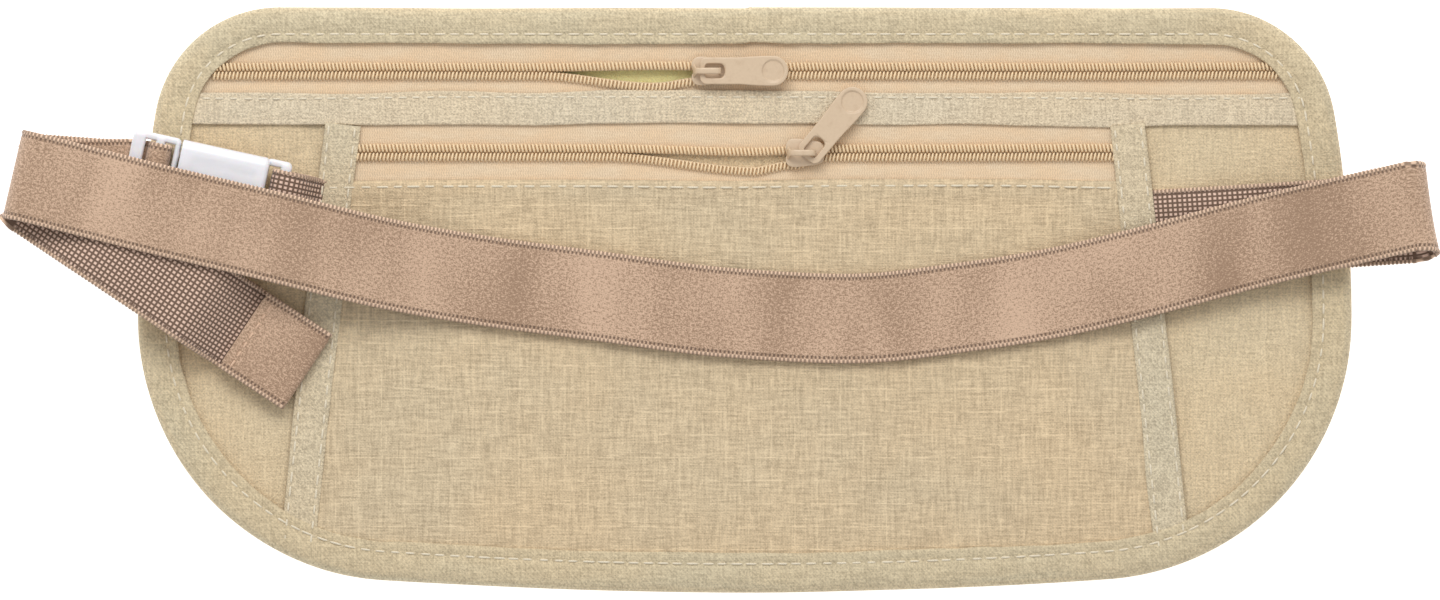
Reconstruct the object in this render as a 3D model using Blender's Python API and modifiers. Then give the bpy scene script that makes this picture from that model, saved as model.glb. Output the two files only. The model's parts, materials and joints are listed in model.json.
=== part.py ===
"""Flat travel money belt: a bound fabric pouch with two coil zips and an elastic belt.

The pouch lies on its back. +X runs to the wearer's side with the belt's loop, +Y to the zipped
edge, +Z up out of the front face. The origin is the bottom centre of the whole object.
"""

import math

import bmesh
import bpy
import numpy as np
from mathutils import Matrix, Vector

MM = 0.001
GAP = 0.3

# Pouch outline, in millimetres: a rounded trapezoid that is symmetric about POUCH_X.
POUCH_X = 5.5
POUCH_LENGTH = 270.0
POUCH_HEIGHT = 130.0
TOP_CORNER_RADIUS = 28.0
BOTTOM_CORNER_RADIUS = 58.0
SIDE_LEAN = 80.0
BOTTOM_BOW = 176.0

# Height of each fabric layer above the table: (underside, upper side).
BINDING_WIDTH = 8.5
BINDING_WALL = 0.6
BINDING = (0.0, 4.55)
BINDING_HOLLOW = (0.5, 4.05)
BACK_PANEL = (0.75, 1.15)
FRONT_PANEL = (1.4, 1.8)
ZIP_TAPE = (2.75, 3.15)
POCKET_PANEL = (3.4, 3.8)
SIDE_TAPE = (4.05, 4.45)

# Seam lines across the pouch, as heights in Y.
FRONT_PANEL_TOP = 45.6
BAND_TOP = 46.2
BAND_BOTTOM = 38.9
POCKET_TOP = 26.6
LOWER_TAPE_BOTTOM = 22.0

# Side tapes: the X of each centre line at its top and bottom end.
SIDE_TAPE_WIDTH = 8.0
SIDE_TAPE_TOP_Y = BAND_BOTTOM - GAP
SIDE_TAPE_BOTTOM_Y = -60.0
SIDE_TAPE_X = {"left": (-84.0, -94.5), "right": (90.6, 101.0)}

# Coil zips.
UPPER_ZIP_Y = 50.9
LOWER_ZIP_Y = 32.7
UPPER_ZIP_ENDS = (-114.0, 125.0)
UPPER_COIL_ENDS = (-108.5, 119.5)
LOWER_ZIP_ENDS = (-86.0, 92.5)
LOWER_COIL_ENDS = (-80.0, 86.5)
COIL_RADIUS = 0.85
COIL_OFFSET = 1.4
COIL_Z = 3.45
TAPE_EDGE = COIL_OFFSET + COIL_RADIUS + GAP

# Zip sliders and pullers.
UPPER_SLIDER_X = -2.0
LOWER_SLIDER_X = 18.9
SLIDER_LENGTH = 8.6
SLIDER_WIDTH = 6.4
SLIDER_FLOOR = (2.0, 2.4)
SLIDER_ROOF = (4.5, 5.2)
DIVIDER_WIDTH = 0.5
LIP_WIDTH = 0.5
BRIDGE_LENGTH = 5.8
BRIDGE_SHIFT = -0.5
BRIDGE_WIDTH = 1.2
BRIDGE_WALL = 0.8
BRIDGE_HEIGHT = 2.6
PULLER_LENGTH = 19.6
PULLER_WIDTH = 6.7
PULLER_EYE_WIDTH = 6.0
PULLER_THICKNESS = 0.75
UPPER_PULLER_Z = 6.47
LOWER_PULLER_Z = 5.9
EYE_LENGTH = 4.4
EYE_WIDTH = 3.2
CROSSBAR = 1.1
RECESS_RADIUS = 2.5
RECESS_DEPTH = 0.3
LOWER_PULLER_TURN = 50.0
LOWER_PULLER_DIP = 0.84

# Belt: 20 mm elastic.
BELT_WIDTH = 20.0
BELT_THICKNESS = 1.0
ANCHOR_Z = 5.3
REST_Z = 5.4
OVER_ANCHOR_Z = 6.9
LOOP_Z = 12.5
OVER_BUCKLE_Z = 14.3
TAIL_Z = 6.75
TAIL_FOLD_RADIUS = 0.75
TAIL_OVER_BUCKLE_Z = 13.0
TAIL_END_Z = 5.5
TAIL_LENGTH = 71.0
TAIL_FOLD_U = -37.4
TAIL_FOLD_V = (-4.6, -6.6)
TAIL_TURN = -21.2
HEM_LENGTH = 16.0
BELT_SPLIT_X = -82.0
FRONT_ROUTE = [
    (153.65, 20.8),
    (121.3, 13.3),
    (96.9, 6.9),
    (73.8, 1.6),
    (53.3, -1.8),
    (30.0, -4.2),
    (1.1, -2.7),
    (-26.7, 0.9),
    (-53.3, 4.4),
    (-75.0, 8.2),
    (-100.0, 14.2),
    (-152.0, 26.9),
]
ANCHOR_START = (97.0, 14.4)
ANCHOR_END = (153.9, 18.1)

# Side-release buckle, in its own frame: u along the belt, v across it, height from the table.
BUCKLE_CENTRE = (-113.9, 22.25)
BUCKLE_TURN = -12.3
BUCKLE_Z = 9.0
BUCKLE_WIDTH = 24.0
SHELL_THICKNESS = 6.4
SHELL_WALL = 1.2
SHELL_U = (-7.8, 12.0)
FRAME_THICKNESS = 2.6
RAIL_WIDTH = 1.6
END_BAR_U = (-19.0, -16.0)
MIDDLE_BAR_U = (-13.8, -11.6)
SHOULDER_U = (-9.4, -8.1)
TAB_BAR_U = (14.5, 17.0)
WINDOW_U = (-1.0, 7.0)
GUIDE_WIDTH = 6.0
GUIDE_END = 7.0
ARM_THICKNESS = 3.2
ARM_V = (7.0, 9.0)
ARM_TIP_V = 11.6
ARM_U = (-7.8, 6.4)
FRONT_V = -3.8


def clear_scene():
    for obj in list(bpy.data.objects):
        bpy.data.objects.remove(obj, do_unlink=True)


def make_collection(name):
    collection = bpy.data.collections.new(name)
    bpy.context.scene.collection.children.link(collection)
    return collection


def make_material(name, colour, roughness, metallic=0.0):
    material = bpy.data.materials.new(name)
    material.use_nodes = True
    shader = material.node_tree.nodes["Principled BSDF"]
    shader.inputs["Base Color"].default_value = (*colour, 1.0)
    shader.inputs["Roughness"].default_value = roughness
    shader.inputs["Metallic"].default_value = metallic
    material.diffuse_color = (*colour, 1.0)
    return material


# ---------------------------------------------------------------- shapes


def arc(centre, radius, start, end, steps):
    """Points on a circle, angles in degrees, both ends included."""
    angles = np.radians(np.linspace(start, end, steps + 1))
    return [(centre[0] + radius * math.cos(a), centre[1] + radius * math.sin(a)) for a in angles]


def pouch_outline(inset):
    """Outline of the pouch, moved inwards by inset; four tangent arcs make each half.

    The side's and the bottom's radius follow from the pouch's length and height.
    """
    lean = math.radians(SIDE_LEAN)
    bow = math.radians(BOTTOM_BOW)
    half = POUCH_LENGTH / 2
    bottom_radius = (half - BOTTOM_CORNER_RADIUS * (1 - math.sin(bow))) / math.sin(bow)
    drop = TOP_CORNER_RADIUS * (1 - math.cos(lean)) - BOTTOM_CORNER_RADIUS * math.cos(bow)
    drop += bottom_radius * (1 + math.cos(bow))
    side_radius = (POUCH_HEIGHT - drop) / math.cos(lean)
    top_flat = half - TOP_CORNER_RADIUS * math.sin(lean) - side_radius * (1 - math.sin(lean))
    arcs = [
        (TOP_CORNER_RADIUS, 0.0, SIDE_LEAN, 6),
        (side_radius, SIDE_LEAN, 90.0, 3),
        (BOTTOM_CORNER_RADIUS, 90.0, BOTTOM_BOW, 9),
        (bottom_radius, BOTTOM_BOW, 180.0, 3),
    ]
    x, y = top_flat, POUCH_HEIGHT / 2 - inset
    right = [(x, y)]
    for radius, start, end, steps in arcs:
        reach = radius - inset
        centre = (x - reach * math.sin(math.radians(start)), y - reach * math.cos(math.radians(start)))
        right += arc(centre, reach, 90.0 - start, 90.0 - end, steps)[1:]
        x, y = right[-1]
    left = [(-x, y) for x, y in reversed(right[:-1])]
    return [(POUCH_X + x, y) for x, y in right + left]


def band_outline(bottom, top, ends):
    return [(ends[0], bottom), (ends[1], bottom), (ends[1], top), (ends[0], top)]


def mesh_object(name, mesh, material, collection):
    obj = bpy.data.objects.new(name, mesh)
    collection.objects.link(obj)
    if material:
        mesh.materials.clear()
        mesh.materials.append(material)
    return obj


def flat_solid(name, loops, heights, material, collection):
    """A flat outline with holes, as a filled 2D curve given its thickness, turned into a mesh."""
    curve = bpy.data.curves.new(name, "CURVE")
    curve.dimensions = "2D"
    curve.fill_mode = "BOTH"
    curve.extrude = (heights[1] - heights[0]) / 2 * MM
    for loop in loops:
        spline = curve.splines.new("POLY")
        spline.points.add(len(loop) - 1)
        for point, (x, y) in zip(spline.points, loop):
            point.co = (x * MM, y * MM, 0.0, 1.0)
        spline.use_cyclic_u = True
    guide = bpy.data.objects.new(name + "_curve", curve)
    collection.objects.link(guide)
    depsgraph = bpy.context.evaluated_depsgraph_get()
    mesh = bpy.data.meshes.new_from_object(guide.evaluated_get(depsgraph))
    bpy.data.objects.remove(guide, do_unlink=True)
    form = bmesh.new()
    form.from_mesh(mesh)
    bmesh.ops.remove_doubles(form, verts=form.verts, dist=0.00001)
    bmesh.ops.translate(form, verts=form.verts, vec=(0.0, 0.0, (heights[0] + heights[1]) / 2 * MM))
    bmesh.ops.recalc_face_normals(form, faces=form.faces)
    form.to_mesh(mesh)
    form.free()
    return mesh_object(name, mesh, material, collection)


def box(name, low, high, material, collection):
    """A box between two corners, in millimetres."""
    form = bmesh.new()
    bmesh.ops.create_cube(form, size=1.0)
    size = Vector(high) - Vector(low)
    middle = (Vector(high) + Vector(low)) / 2
    bmesh.ops.scale(form, verts=form.verts, vec=size * MM)
    bmesh.ops.translate(form, verts=form.verts, vec=middle * MM)
    mesh = bpy.data.meshes.new(name)
    form.to_mesh(mesh)
    form.free()
    return mesh_object(name, mesh, material, collection)


def boolean(obj, tool, operation):
    """Cut, join or trim obj with a hidden tool object."""
    tool.hide_render = True
    tool.display_type = "WIRE"
    modifier = obj.modifiers.new(operation.lower() + "_" + tool.name, "BOOLEAN")
    modifier.operation = operation
    modifier.solver = "EXACT"
    modifier.object = tool


def place(obj, location, turn=0.0, dip=0.0):
    """Move an object modelled about its own origin; the dip lowers its +X end before the turn in plan."""
    obj.location = Vector(location) * MM
    obj.rotation_euler = (0.0, math.radians(dip), math.radians(turn))


def smoothstep(value, start, end):
    t = min(max((value - start) / (end - start), 0.0), 1.0)
    return t * t * (3 - 2 * t)


def smooth_route(points, steps):
    """A Catmull-Rom curve through points, with the same number of steps on each span."""
    knots = [np.array(p, float) for p in points]
    knots = [2 * knots[0] - knots[1]] + knots + [2 * knots[-1] - knots[-2]]
    route = []
    for a, b, c, d in zip(knots, knots[1:], knots[2:], knots[3:]):
        for t in np.arange(steps) / steps:
            cubic = 2 * b + (c - a) * t + (2 * a - 5 * b + 4 * c - d) * t**2 + (3 * b - a - 3 * c + d) * t**3
            route.append(cubic / 2)
    route.append(knots[-2])
    return route


def plan_sides(route):
    """Unit vectors across a route, level with the table, to the left of its direction."""
    plan = np.array([[p[0], p[1]] for p in route])
    along = np.gradient(plan, axis=0)
    along /= np.linalg.norm(along, axis=1)[:, None]
    return [(-a[1], a[0], 0.0) for a in along]


def webbing(name, route, sides, material, collection):
    """A strip of belt: a grid laid along a route, each row placed across it, given a thickness."""
    form = bmesh.new()
    bmesh.ops.create_grid(form, x_segments=len(route) - 1, y_segments=1, size=1.0)
    form.verts.ensure_lookup_table()
    for vert in form.verts:
        step = round((vert.co.x + 1) / 2 * (len(route) - 1))
        across = Vector(sides[step]) * vert.co.y * BELT_WIDTH / 2
        vert.co = (Vector(route[step]) + across) * MM
    mesh = bpy.data.meshes.new(name)
    form.to_mesh(mesh)
    form.free()
    obj = mesh_object(name, mesh, material, collection)
    solid = obj.modifiers.new("thickness", "SOLIDIFY")
    solid.thickness = BELT_THICKNESS * MM
    solid.offset = 0.0
    return obj


# ---------------------------------------------------------------- pouch


def make_binding(parts, cutters, fabric):
    """Folded strip round the rim: a U section that is open to the inside."""
    binding = flat_solid("edge_binding", [pouch_outline(0.0)], BINDING, fabric, parts)
    window = flat_solid("binding_window", [pouch_outline(BINDING_WIDTH)], (-1.0, 6.0), None, cutters)
    hollow = flat_solid("binding_hollow", [pouch_outline(BINDING_WALL)], BINDING_HOLLOW, None, cutters)
    boolean(binding, hollow, "DIFFERENCE")
    boolean(binding, window, "DIFFERENCE")


def trimmed_panel(name, heights, region, inset, material, parts, cutters):
    """A fabric layer: the pouch's outline where it covers the region, a closed outline in plan."""
    panel = flat_solid(name, [region], heights, material, parts)
    limit = flat_solid(name + "_limit", [pouch_outline(inset)], (-1.0, 6.0), None, cutters)
    boolean(panel, limit, "INTERSECT")
    return panel


def side_tape_x(side, y):
    top, bottom = SIDE_TAPE_X[side]
    return top + (bottom - top) * (SIDE_TAPE_TOP_Y - y) / (SIDE_TAPE_TOP_Y - SIDE_TAPE_BOTTOM_Y)


def make_panels(parts, cutters, fabrics):
    inside = BINDING_WALL + GAP
    flat_solid("back_panel", [pouch_outline(inside)], BACK_PANEL, fabrics["lining"], parts)
    wide = (-200.0, 200.0)
    front = band_outline(-80.0, FRONT_PANEL_TOP, wide)
    trimmed_panel("main_front_panel", FRONT_PANEL, front, inside, fabrics["wing"], parts, cutters)
    band = band_outline(BAND_BOTTOM, BAND_TOP, wide)
    trimmed_panel("mid_band", POCKET_PANEL, band, inside, fabrics["band"], parts, cutters)
    pocket = [
        (side_tape_x("left", POCKET_TOP), POCKET_TOP),
        (side_tape_x("left", -80.0), -80.0),
        (side_tape_x("right", -80.0), -80.0),
        (side_tape_x("right", POCKET_TOP), POCKET_TOP),
    ]
    trimmed_panel("front_pocket_panel", POCKET_PANEL, pocket, inside, fabrics["pocket"], parts, cutters)
    for side in ("left", "right"):
        half = SIDE_TAPE_WIDTH / 2
        ends = ((SIDE_TAPE_TOP_Y, 1), (-80.0, 1), (-80.0, -1), (SIDE_TAPE_TOP_Y, -1))
        strip = [(side_tape_x(side, y) + sign * half, y) for y, sign in ends]
        name = side + "_side_tape"
        edge = BINDING_WIDTH + GAP
        trimmed_panel(name, SIDE_TAPE, strip, edge, fabrics["tape"], parts, cutters)


# ---------------------------------------------------------------- zips


def make_coil(name, y, ends, material, parts):
    """A nylon coil as a plain round bar along its centre line."""
    form = bmesh.new()
    length = ends[1] - ends[0]
    turn = Matrix.Rotation(math.radians(90.0), 4, "Y")
    radius = COIL_RADIUS * MM
    bmesh.ops.create_cone(
        form, cap_ends=True, segments=8, radius1=radius, radius2=radius, depth=length * MM, matrix=turn
    )
    mesh = bpy.data.meshes.new(name)
    form.to_mesh(mesh)
    form.free()
    coil = mesh_object(name, mesh, material, parts)
    place(coil, ((ends[0] + ends[1]) / 2, y, COIL_Z))


def make_zip(prefix, y, ends, coil_ends, tapes, parts, cutters, fabrics):
    """Two tapes and two coils; tapes gives the outer edges of the upper and the lower tape."""
    upper = band_outline(y + TAPE_EDGE, tapes[0], ends)
    lower = band_outline(tapes[1], y - TAPE_EDGE, ends)
    inside = BINDING_WALL + GAP
    trimmed_panel(prefix + "_zip_tape_top", ZIP_TAPE, upper, inside, fabrics["zip"], parts, cutters)
    trimmed_panel(prefix + "_zip_tape_bottom", ZIP_TAPE, lower, inside, fabrics["zip"], parts, cutters)
    make_coil(prefix + "_zip_coil_top", y + COIL_OFFSET, coil_ends, fabrics["coil"], parts)
    make_coil(prefix + "_zip_coil_bottom", y - COIL_OFFSET, coil_ends, fabrics["coil"], parts)


def slider_outline():
    """Plan of a slider plate: a round nose, straight flanks and a narrower round tail."""
    half = SLIDER_WIDTH / 2
    nose = SLIDER_LENGTH / 2 - half
    tail = half * 0.8
    lower = arc((-nose, 0.0), half, 180.0, 270.0, 4) + arc((SLIDER_LENGTH / 2 - tail, 0.0), tail, 270.0, 360.0, 4)
    upper = [(x, -y) for x, y in reversed(lower[1:-1])]
    return lower + upper


def make_slider(prefix, x, y, parts, cutters, metal):
    """Roof and floor plates joined by the divider between the coils, with two guide lips."""
    body = flat_solid(prefix + "_slider_body", [slider_outline()], SLIDER_ROOF, metal, parts)
    floor = flat_solid(prefix + "_slider_floor", [slider_outline()], SLIDER_FLOOR, None, cutters)
    divider_end = -SLIDER_LENGTH / 2 + 0.6
    half = DIVIDER_WIDTH / 2
    low = (divider_end, -half, SLIDER_FLOOR[0] + 0.1)
    high = (divider_end + 3.0, half, SLIDER_ROOF[1] - 0.1)
    joined = [floor, box(prefix + "_slider_divider", low, high, None, cutters)]
    for side in (-1, 1):
        edge = side * (SLIDER_WIDTH / 2 - 0.05)
        near, far = sorted((edge, edge - side * LIP_WIDTH))
        lip_low = (-1.6, near, ZIP_TAPE[1] + 0.25)
        lip_high = (1.6, far, SLIDER_ROOF[0] + 0.2)
        joined.append(box(f"{prefix}_slider_lip_{side}", lip_low, lip_high, None, cutters))
    place(body, (x, y, 0.0))
    for tool in joined:
        place(tool, (x, y, 0.0))
        boolean(body, tool, "UNION")
    return body


def make_bridge(prefix, x, y, parts, metal):
    """Crown over the slider: a flat arch standing along the zip, its section drawn in X and Z."""
    half = BRIDGE_LENGTH / 2
    corner = 1.2
    inner = half - BRIDGE_WALL
    roof = BRIDGE_HEIGHT - BRIDGE_WALL
    outer = [(half, 0.0)]
    outer += arc((half - corner, BRIDGE_HEIGHT - corner), corner, 0.0, 90.0, 3)
    outer += arc((corner - half, BRIDGE_HEIGHT - corner), corner, 90.0, 180.0, 3)
    outer.append((-half, 0.0))
    inside = [(-inner, 0.0), (-inner, roof - 0.4), (0.4 - inner, roof), (inner - 0.4, roof)]
    inside += [(inner, roof - 0.4), (inner, 0.0)]
    heights = (-BRIDGE_WIDTH / 2, BRIDGE_WIDTH / 2)
    bridge = flat_solid(prefix + "_slider_bridge", [outer + inside], heights, metal, parts)
    bridge.location = Vector((x + BRIDGE_SHIFT, y, SLIDER_ROOF[1] + GAP / 2)) * MM
    bridge.rotation_euler = (math.radians(90.0), 0.0, 0.0)
    return bridge


def puller_outline():
    """Plan of a puller from its hinge at the origin: narrow at the eye, round at the free end."""
    eye = PULLER_EYE_WIDTH / 2
    end = PULLER_WIDTH / 2
    start = -CROSSBAR / 2
    corner = 1.6
    lower = arc((start + corner, corner - eye), corner, 180.0, 270.0, 3)
    lower += arc((start + PULLER_LENGTH - end, 0.0), end, 270.0, 360.0, 6)
    return lower + [(x, -y) for x, y in reversed(lower[:-1])]


def eye_outline():
    """The oblong hole that the bridge's leg stands in."""
    start = CROSSBAR / 2
    corner = 1.2
    half = EYE_WIDTH / 2
    end = start + EYE_LENGTH
    lower = arc((start + 0.5, 0.5 - half), 0.5, 180.0, 270.0, 1)
    lower += arc((end - corner, corner - half), corner, 270.0, 360.0, 3)
    return lower + [(x, -y) for x, y in reversed(lower)]


def make_puller(prefix, hinge, turn, dip, parts, cutters, metal):
    """Flat pull tab with its origin on its hinge, the crossbar under the bridge."""
    half = PULLER_THICKNESS / 2
    loops = [puller_outline(), eye_outline()]
    puller = flat_solid(prefix + "_puller", loops, (-half, half), metal, parts)
    recess_x = PULLER_LENGTH - CROSSBAR / 2 - PULLER_WIDTH / 2
    disc = arc((recess_x, 0.0), RECESS_RADIUS, 0.0, 337.5, 15)
    recess = flat_solid(prefix + "_puller_recess", [disc], (half - RECESS_DEPTH, half + 1.0), None, cutters)
    boolean(puller, recess, "DIFFERENCE")
    for obj in (puller, recess):
        place(obj, hinge, turn, dip)
    return puller


def lower_hinge():
    """Hinge point of the swivelled lower puller: its crossbar stays clear of the bridge's leg."""
    leg = LOWER_SLIDER_X + BRIDGE_SHIFT + BRIDGE_LENGTH / 2 - BRIDGE_WALL / 2
    turn = math.radians(LOWER_PULLER_TURN)
    along, across = 1.55, 0.74
    x = leg - along * math.cos(turn) - across * math.sin(turn)
    y = LOWER_ZIP_Y - along * math.sin(turn) + across * math.cos(turn)
    return x, y, LOWER_PULLER_Z


def make_zips(parts, cutters, fabrics, metal):
    split = (BAND_TOP + BAND_BOTTOM) / 2
    upper_tapes = (POUCH_HEIGHT, split + GAP / 2)
    lower_tapes = (split - GAP / 2, LOWER_TAPE_BOTTOM)
    upper_ends = (UPPER_ZIP_ENDS, UPPER_COIL_ENDS, upper_tapes)
    lower_ends = (LOWER_ZIP_ENDS, LOWER_COIL_ENDS, lower_tapes)
    make_zip("upper", UPPER_ZIP_Y, *upper_ends, parts, cutters, fabrics)
    make_zip("lower", LOWER_ZIP_Y, *lower_ends, parts, cutters, fabrics)
    for prefix, x, y in (("upper", UPPER_SLIDER_X, UPPER_ZIP_Y), ("lower", LOWER_SLIDER_X, LOWER_ZIP_Y)):
        make_slider(prefix, x, y, parts, cutters, metal)
        make_bridge(prefix, x, y, parts, metal)
    leg_gap = BRIDGE_LENGTH / 2 - BRIDGE_WALL - CROSSBAR / 2 - GAP / 2
    upper_hinge = (UPPER_SLIDER_X + BRIDGE_SHIFT - leg_gap, UPPER_ZIP_Y, UPPER_PULLER_Z)
    make_puller("upper", upper_hinge, 0.0, 0.0, parts, cutters, metal)
    make_puller("lower", lower_hinge(), LOWER_PULLER_TURN, LOWER_PULLER_DIP, parts, cutters, metal)


# ---------------------------------------------------------------- buckle


def buckle_point(u, v, z):
    """A point of the buckle's frame, in the object's millimetres."""
    turn = math.radians(BUCKLE_TURN)
    x = BUCKLE_CENTRE[0] + u * math.cos(turn) - v * math.sin(turn)
    y = BUCKLE_CENTRE[1] + u * math.sin(turn) + v * math.cos(turn)
    return x, y, z


def buckle_origin():
    return Vector(buckle_point(0.0, 0.0, BUCKLE_Z))


def rounded_rectangle(low, high, radius):
    (x0, y0), (x1, y1) = low, high
    corners = [((x1, y1), 0), ((x0, y1), 90), ((x0, y0), 180), ((x1, y0), 270)]
    points = []
    for (x, y), start in corners:
        centre = (x - math.copysign(radius, x - (x0 + x1) / 2), y - math.copysign(radius, y))
        points += arc(centre, radius, start, start + 90, 3)
    return points


def make_shell(parts, cutters, plastic):
    """Socket half: a flat box open at its mouth, side windows for the arms, a bar for the tab."""
    half_w = BUCKLE_WIDTH / 2
    half_t = SHELL_THICKNESS / 2
    slim = FRAME_THICKNESS / 2
    outline = rounded_rectangle((SHELL_U[0], -half_w), (SHELL_U[1], half_w), 1.5)
    shell = flat_solid("buckle_socket_shell", [outline], (-half_t, half_t), plastic, parts)
    loop_outline = rounded_rectangle((SHELL_U[1] - 2.0, -half_w), (TAB_BAR_U[1], half_w), 1.2)
    slot = band_outline(RAIL_WIDTH - half_w, half_w - RAIL_WIDTH, (SHELL_U[1], TAB_BAR_U[0]))
    loop = flat_solid("shell_loop", [loop_outline, slot], (-slim, slim), None, cutters)
    inner_w = half_w - SHELL_WALL - 0.3
    inner_t = half_t - SHELL_WALL
    cavity_low = (SHELL_U[0] - 1.0, -inner_w, -inner_t)
    cavity = box("shell_cavity", cavity_low, (SHELL_U[1] - 2.0, inner_w, inner_t), None, cutters)
    window_low = (WINDOW_U[0], -half_w - 1.0, -inner_t)
    window = box("shell_window", window_low, (WINDOW_U[1], half_w + 1.0, inner_t), None, cutters)
    boolean(shell, loop, "UNION")
    boolean(shell, cavity, "DIFFERENCE")
    boolean(shell, window, "DIFFERENCE")
    for obj in (shell, loop, cavity, window):
        place(obj, buckle_origin(), BUCKLE_TURN)


def make_ladder(parts, cutters, plastic):
    """Plug half: a two-slot ladder for the belt, a shoulder and the centre guide."""
    half_w = BUCKLE_WIDTH / 2
    slim = FRAME_THICKNESS / 2
    outline = rounded_rectangle((END_BAR_U[0], -half_w), (SHOULDER_U[1], half_w), 1.2)
    rail = half_w - RAIL_WIDTH
    outer_slot = band_outline(-rail, rail, (END_BAR_U[1], MIDDLE_BAR_U[0]))
    inner_slot = band_outline(-rail, rail, (MIDDLE_BAR_U[1], SHOULDER_U[0]))
    loops = [outline, outer_slot, inner_slot]
    ladder = flat_solid("buckle_plug_frame", loops, (-slim, slim), plastic, parts)
    guide_low = (SHOULDER_U[0] + 0.3, -GUIDE_WIDTH / 2, -slim + 0.2)
    guide_high = (GUIDE_END, GUIDE_WIDTH / 2, slim - 0.2)
    guide = box("plug_guide", guide_low, guide_high, None, cutters)
    boolean(ladder, guide, "UNION")
    for obj in (ladder, guide):
        place(obj, buckle_origin(), BUCKLE_TURN)


def make_arm(name, side, parts, plastic):
    """Sprung arm of the plug, its origin at the root; the tip's catch fills the shell's window."""
    root = ((ARM_U[0]), side * (ARM_V[0] + ARM_V[1]) / 2)
    catch = WINDOW_U[0] + 0.4
    outline = [
        (ARM_U[0], ARM_V[0]),
        (ARM_U[1] - 2.0, ARM_V[0]),
        (ARM_U[1], ARM_V[1]),
        (ARM_U[1] - 1.0, ARM_TIP_V - 0.6),
        (ARM_U[1] - 2.4, ARM_TIP_V),
        (catch, ARM_TIP_V),
        (catch, ARM_V[1]),
        (ARM_U[0], ARM_V[1]),
    ]
    local = [(u - root[0], side * v - root[1]) for u, v in outline]
    half = ARM_THICKNESS / 2
    arm = flat_solid(name, [local], (-half, half), plastic, parts)
    place(arm, buckle_point(*root, BUCKLE_Z), BUCKLE_TURN)


def make_buckle(parts, cutters, plastic):
    make_shell(parts, cutters, plastic)
    make_ladder(parts, cutters, plastic)
    make_arm("buckle_arm_upper", 1, parts, plastic)
    make_arm("buckle_arm_lower", -1, parts, plastic)


# ---------------------------------------------------------------- belt


def front_height(x):
    """Height of the long strand: raised at both ends, resting on the pouch in between."""
    over_anchor = REST_Z + (OVER_ANCHOR_Z - REST_Z) * smoothstep(x, 72.0, 92.0)
    loop = (LOOP_Z - OVER_ANCHOR_Z) * smoothstep(x, 112.0, FRONT_ROUTE[0][0])
    over_buckle = (OVER_BUCKLE_Z - REST_Z) * smoothstep(-x, 52.0, 94.0)
    return over_anchor + loop + over_buckle


def make_front_strands(parts, belt):
    plan = smooth_route(FRONT_ROUTE, 3)
    sides = plan_sides(plan)
    route = [(x, y, front_height(x)) for x, y in plan]
    split = next(i for i, point in enumerate(route) if point[0] < BELT_SPLIT_X)
    webbing("belt_front_right", route[: split + 1], sides[: split + 1], belt, parts)
    gap = np.array(route[split + 1]) - np.array(route[split])
    start = np.array(route[split]) + gap / np.linalg.norm(gap) * GAP
    left = [tuple(start)] + route[split + 1 :]
    webbing("belt_front_left", left, sides[split:], belt, parts)
    return route, sides


def turn_over(start, end, outward, start_side, end_side):
    """Half turn from one strand's end to another's start below or above it, bulging outward."""
    start, end, outward = np.array(start), np.array(end), np.array(outward)
    middle = (start + end) / 2
    radius = abs(end[2] - start[2]) / 2
    route, sides = [], []
    for angle in np.linspace(0.0, math.pi, 7):
        centre = start + (end - start) * (angle / math.pi)
        height = middle[2] + (start[2] - middle[2]) * math.cos(angle)
        reach = GAP + radius * math.sin(angle)
        point = np.array([centre[0], centre[1], height]) + outward * reach
        share = smoothstep(angle, 0.0, math.pi)
        side = np.array(start_side) * (1 - share) + np.array(end_side) * share
        route.append(tuple(point))
        sides.append(tuple(side / np.linalg.norm(side)))
    return route, sides


def straight(start, end, steps):
    start, end = np.array(start, float), np.array(end, float)
    return [tuple(start + (end - start) * t) for t in np.linspace(0.0, 1.0, steps + 1)]


def make_right_loop(route, sides, parts, belt):
    """The anchor strand from the seam, and its turn up into the front strand."""
    anchor = straight((*ANCHOR_START, ANCHOR_Z), (*ANCHOR_END, ANCHOR_Z), 4)
    anchor_sides = plan_sides(anchor)
    webbing("belt_anchor", anchor, anchor_sides, belt, parts)
    front_side = tuple(-np.array(sides[0]))
    outward = np.array([front_side[1], -front_side[0], 0.0])
    bend = turn_over(anchor[-1], route[0], outward, anchor_sides[-1], front_side)
    webbing("belt_right_bend", *bend, belt, parts)


def buckle_side(turn=0.0):
    """Unit vector across the belt where it runs along the buckle, turned by some degrees."""
    angle = math.radians(BUCKLE_TURN + turn)
    return -math.sin(angle), math.cos(angle), 0.0


def bar_wrap_profile():
    """Route of the belt round the middle bar, as (u, height): up, over and down to the tail."""
    inner = (MIDDLE_BAR_U[1] + SHOULDER_U[0]) / 2
    outer = (END_BAR_U[1] + MIDDLE_BAR_U[0]) / 2
    radius = (inner - outer) / 2
    turn = 2.0
    over = BUCKLE_Z + 0.35
    profile = arc((inner - turn, ANCHOR_Z + turn), turn, -90.0, 0.0, 3)
    profile += arc((inner - radius, over), radius, 0.0, 180.0, 6)
    profile += arc((outer - turn, TAIL_Z + turn), turn, 0.0, -90.0, 3)
    return profile


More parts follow.
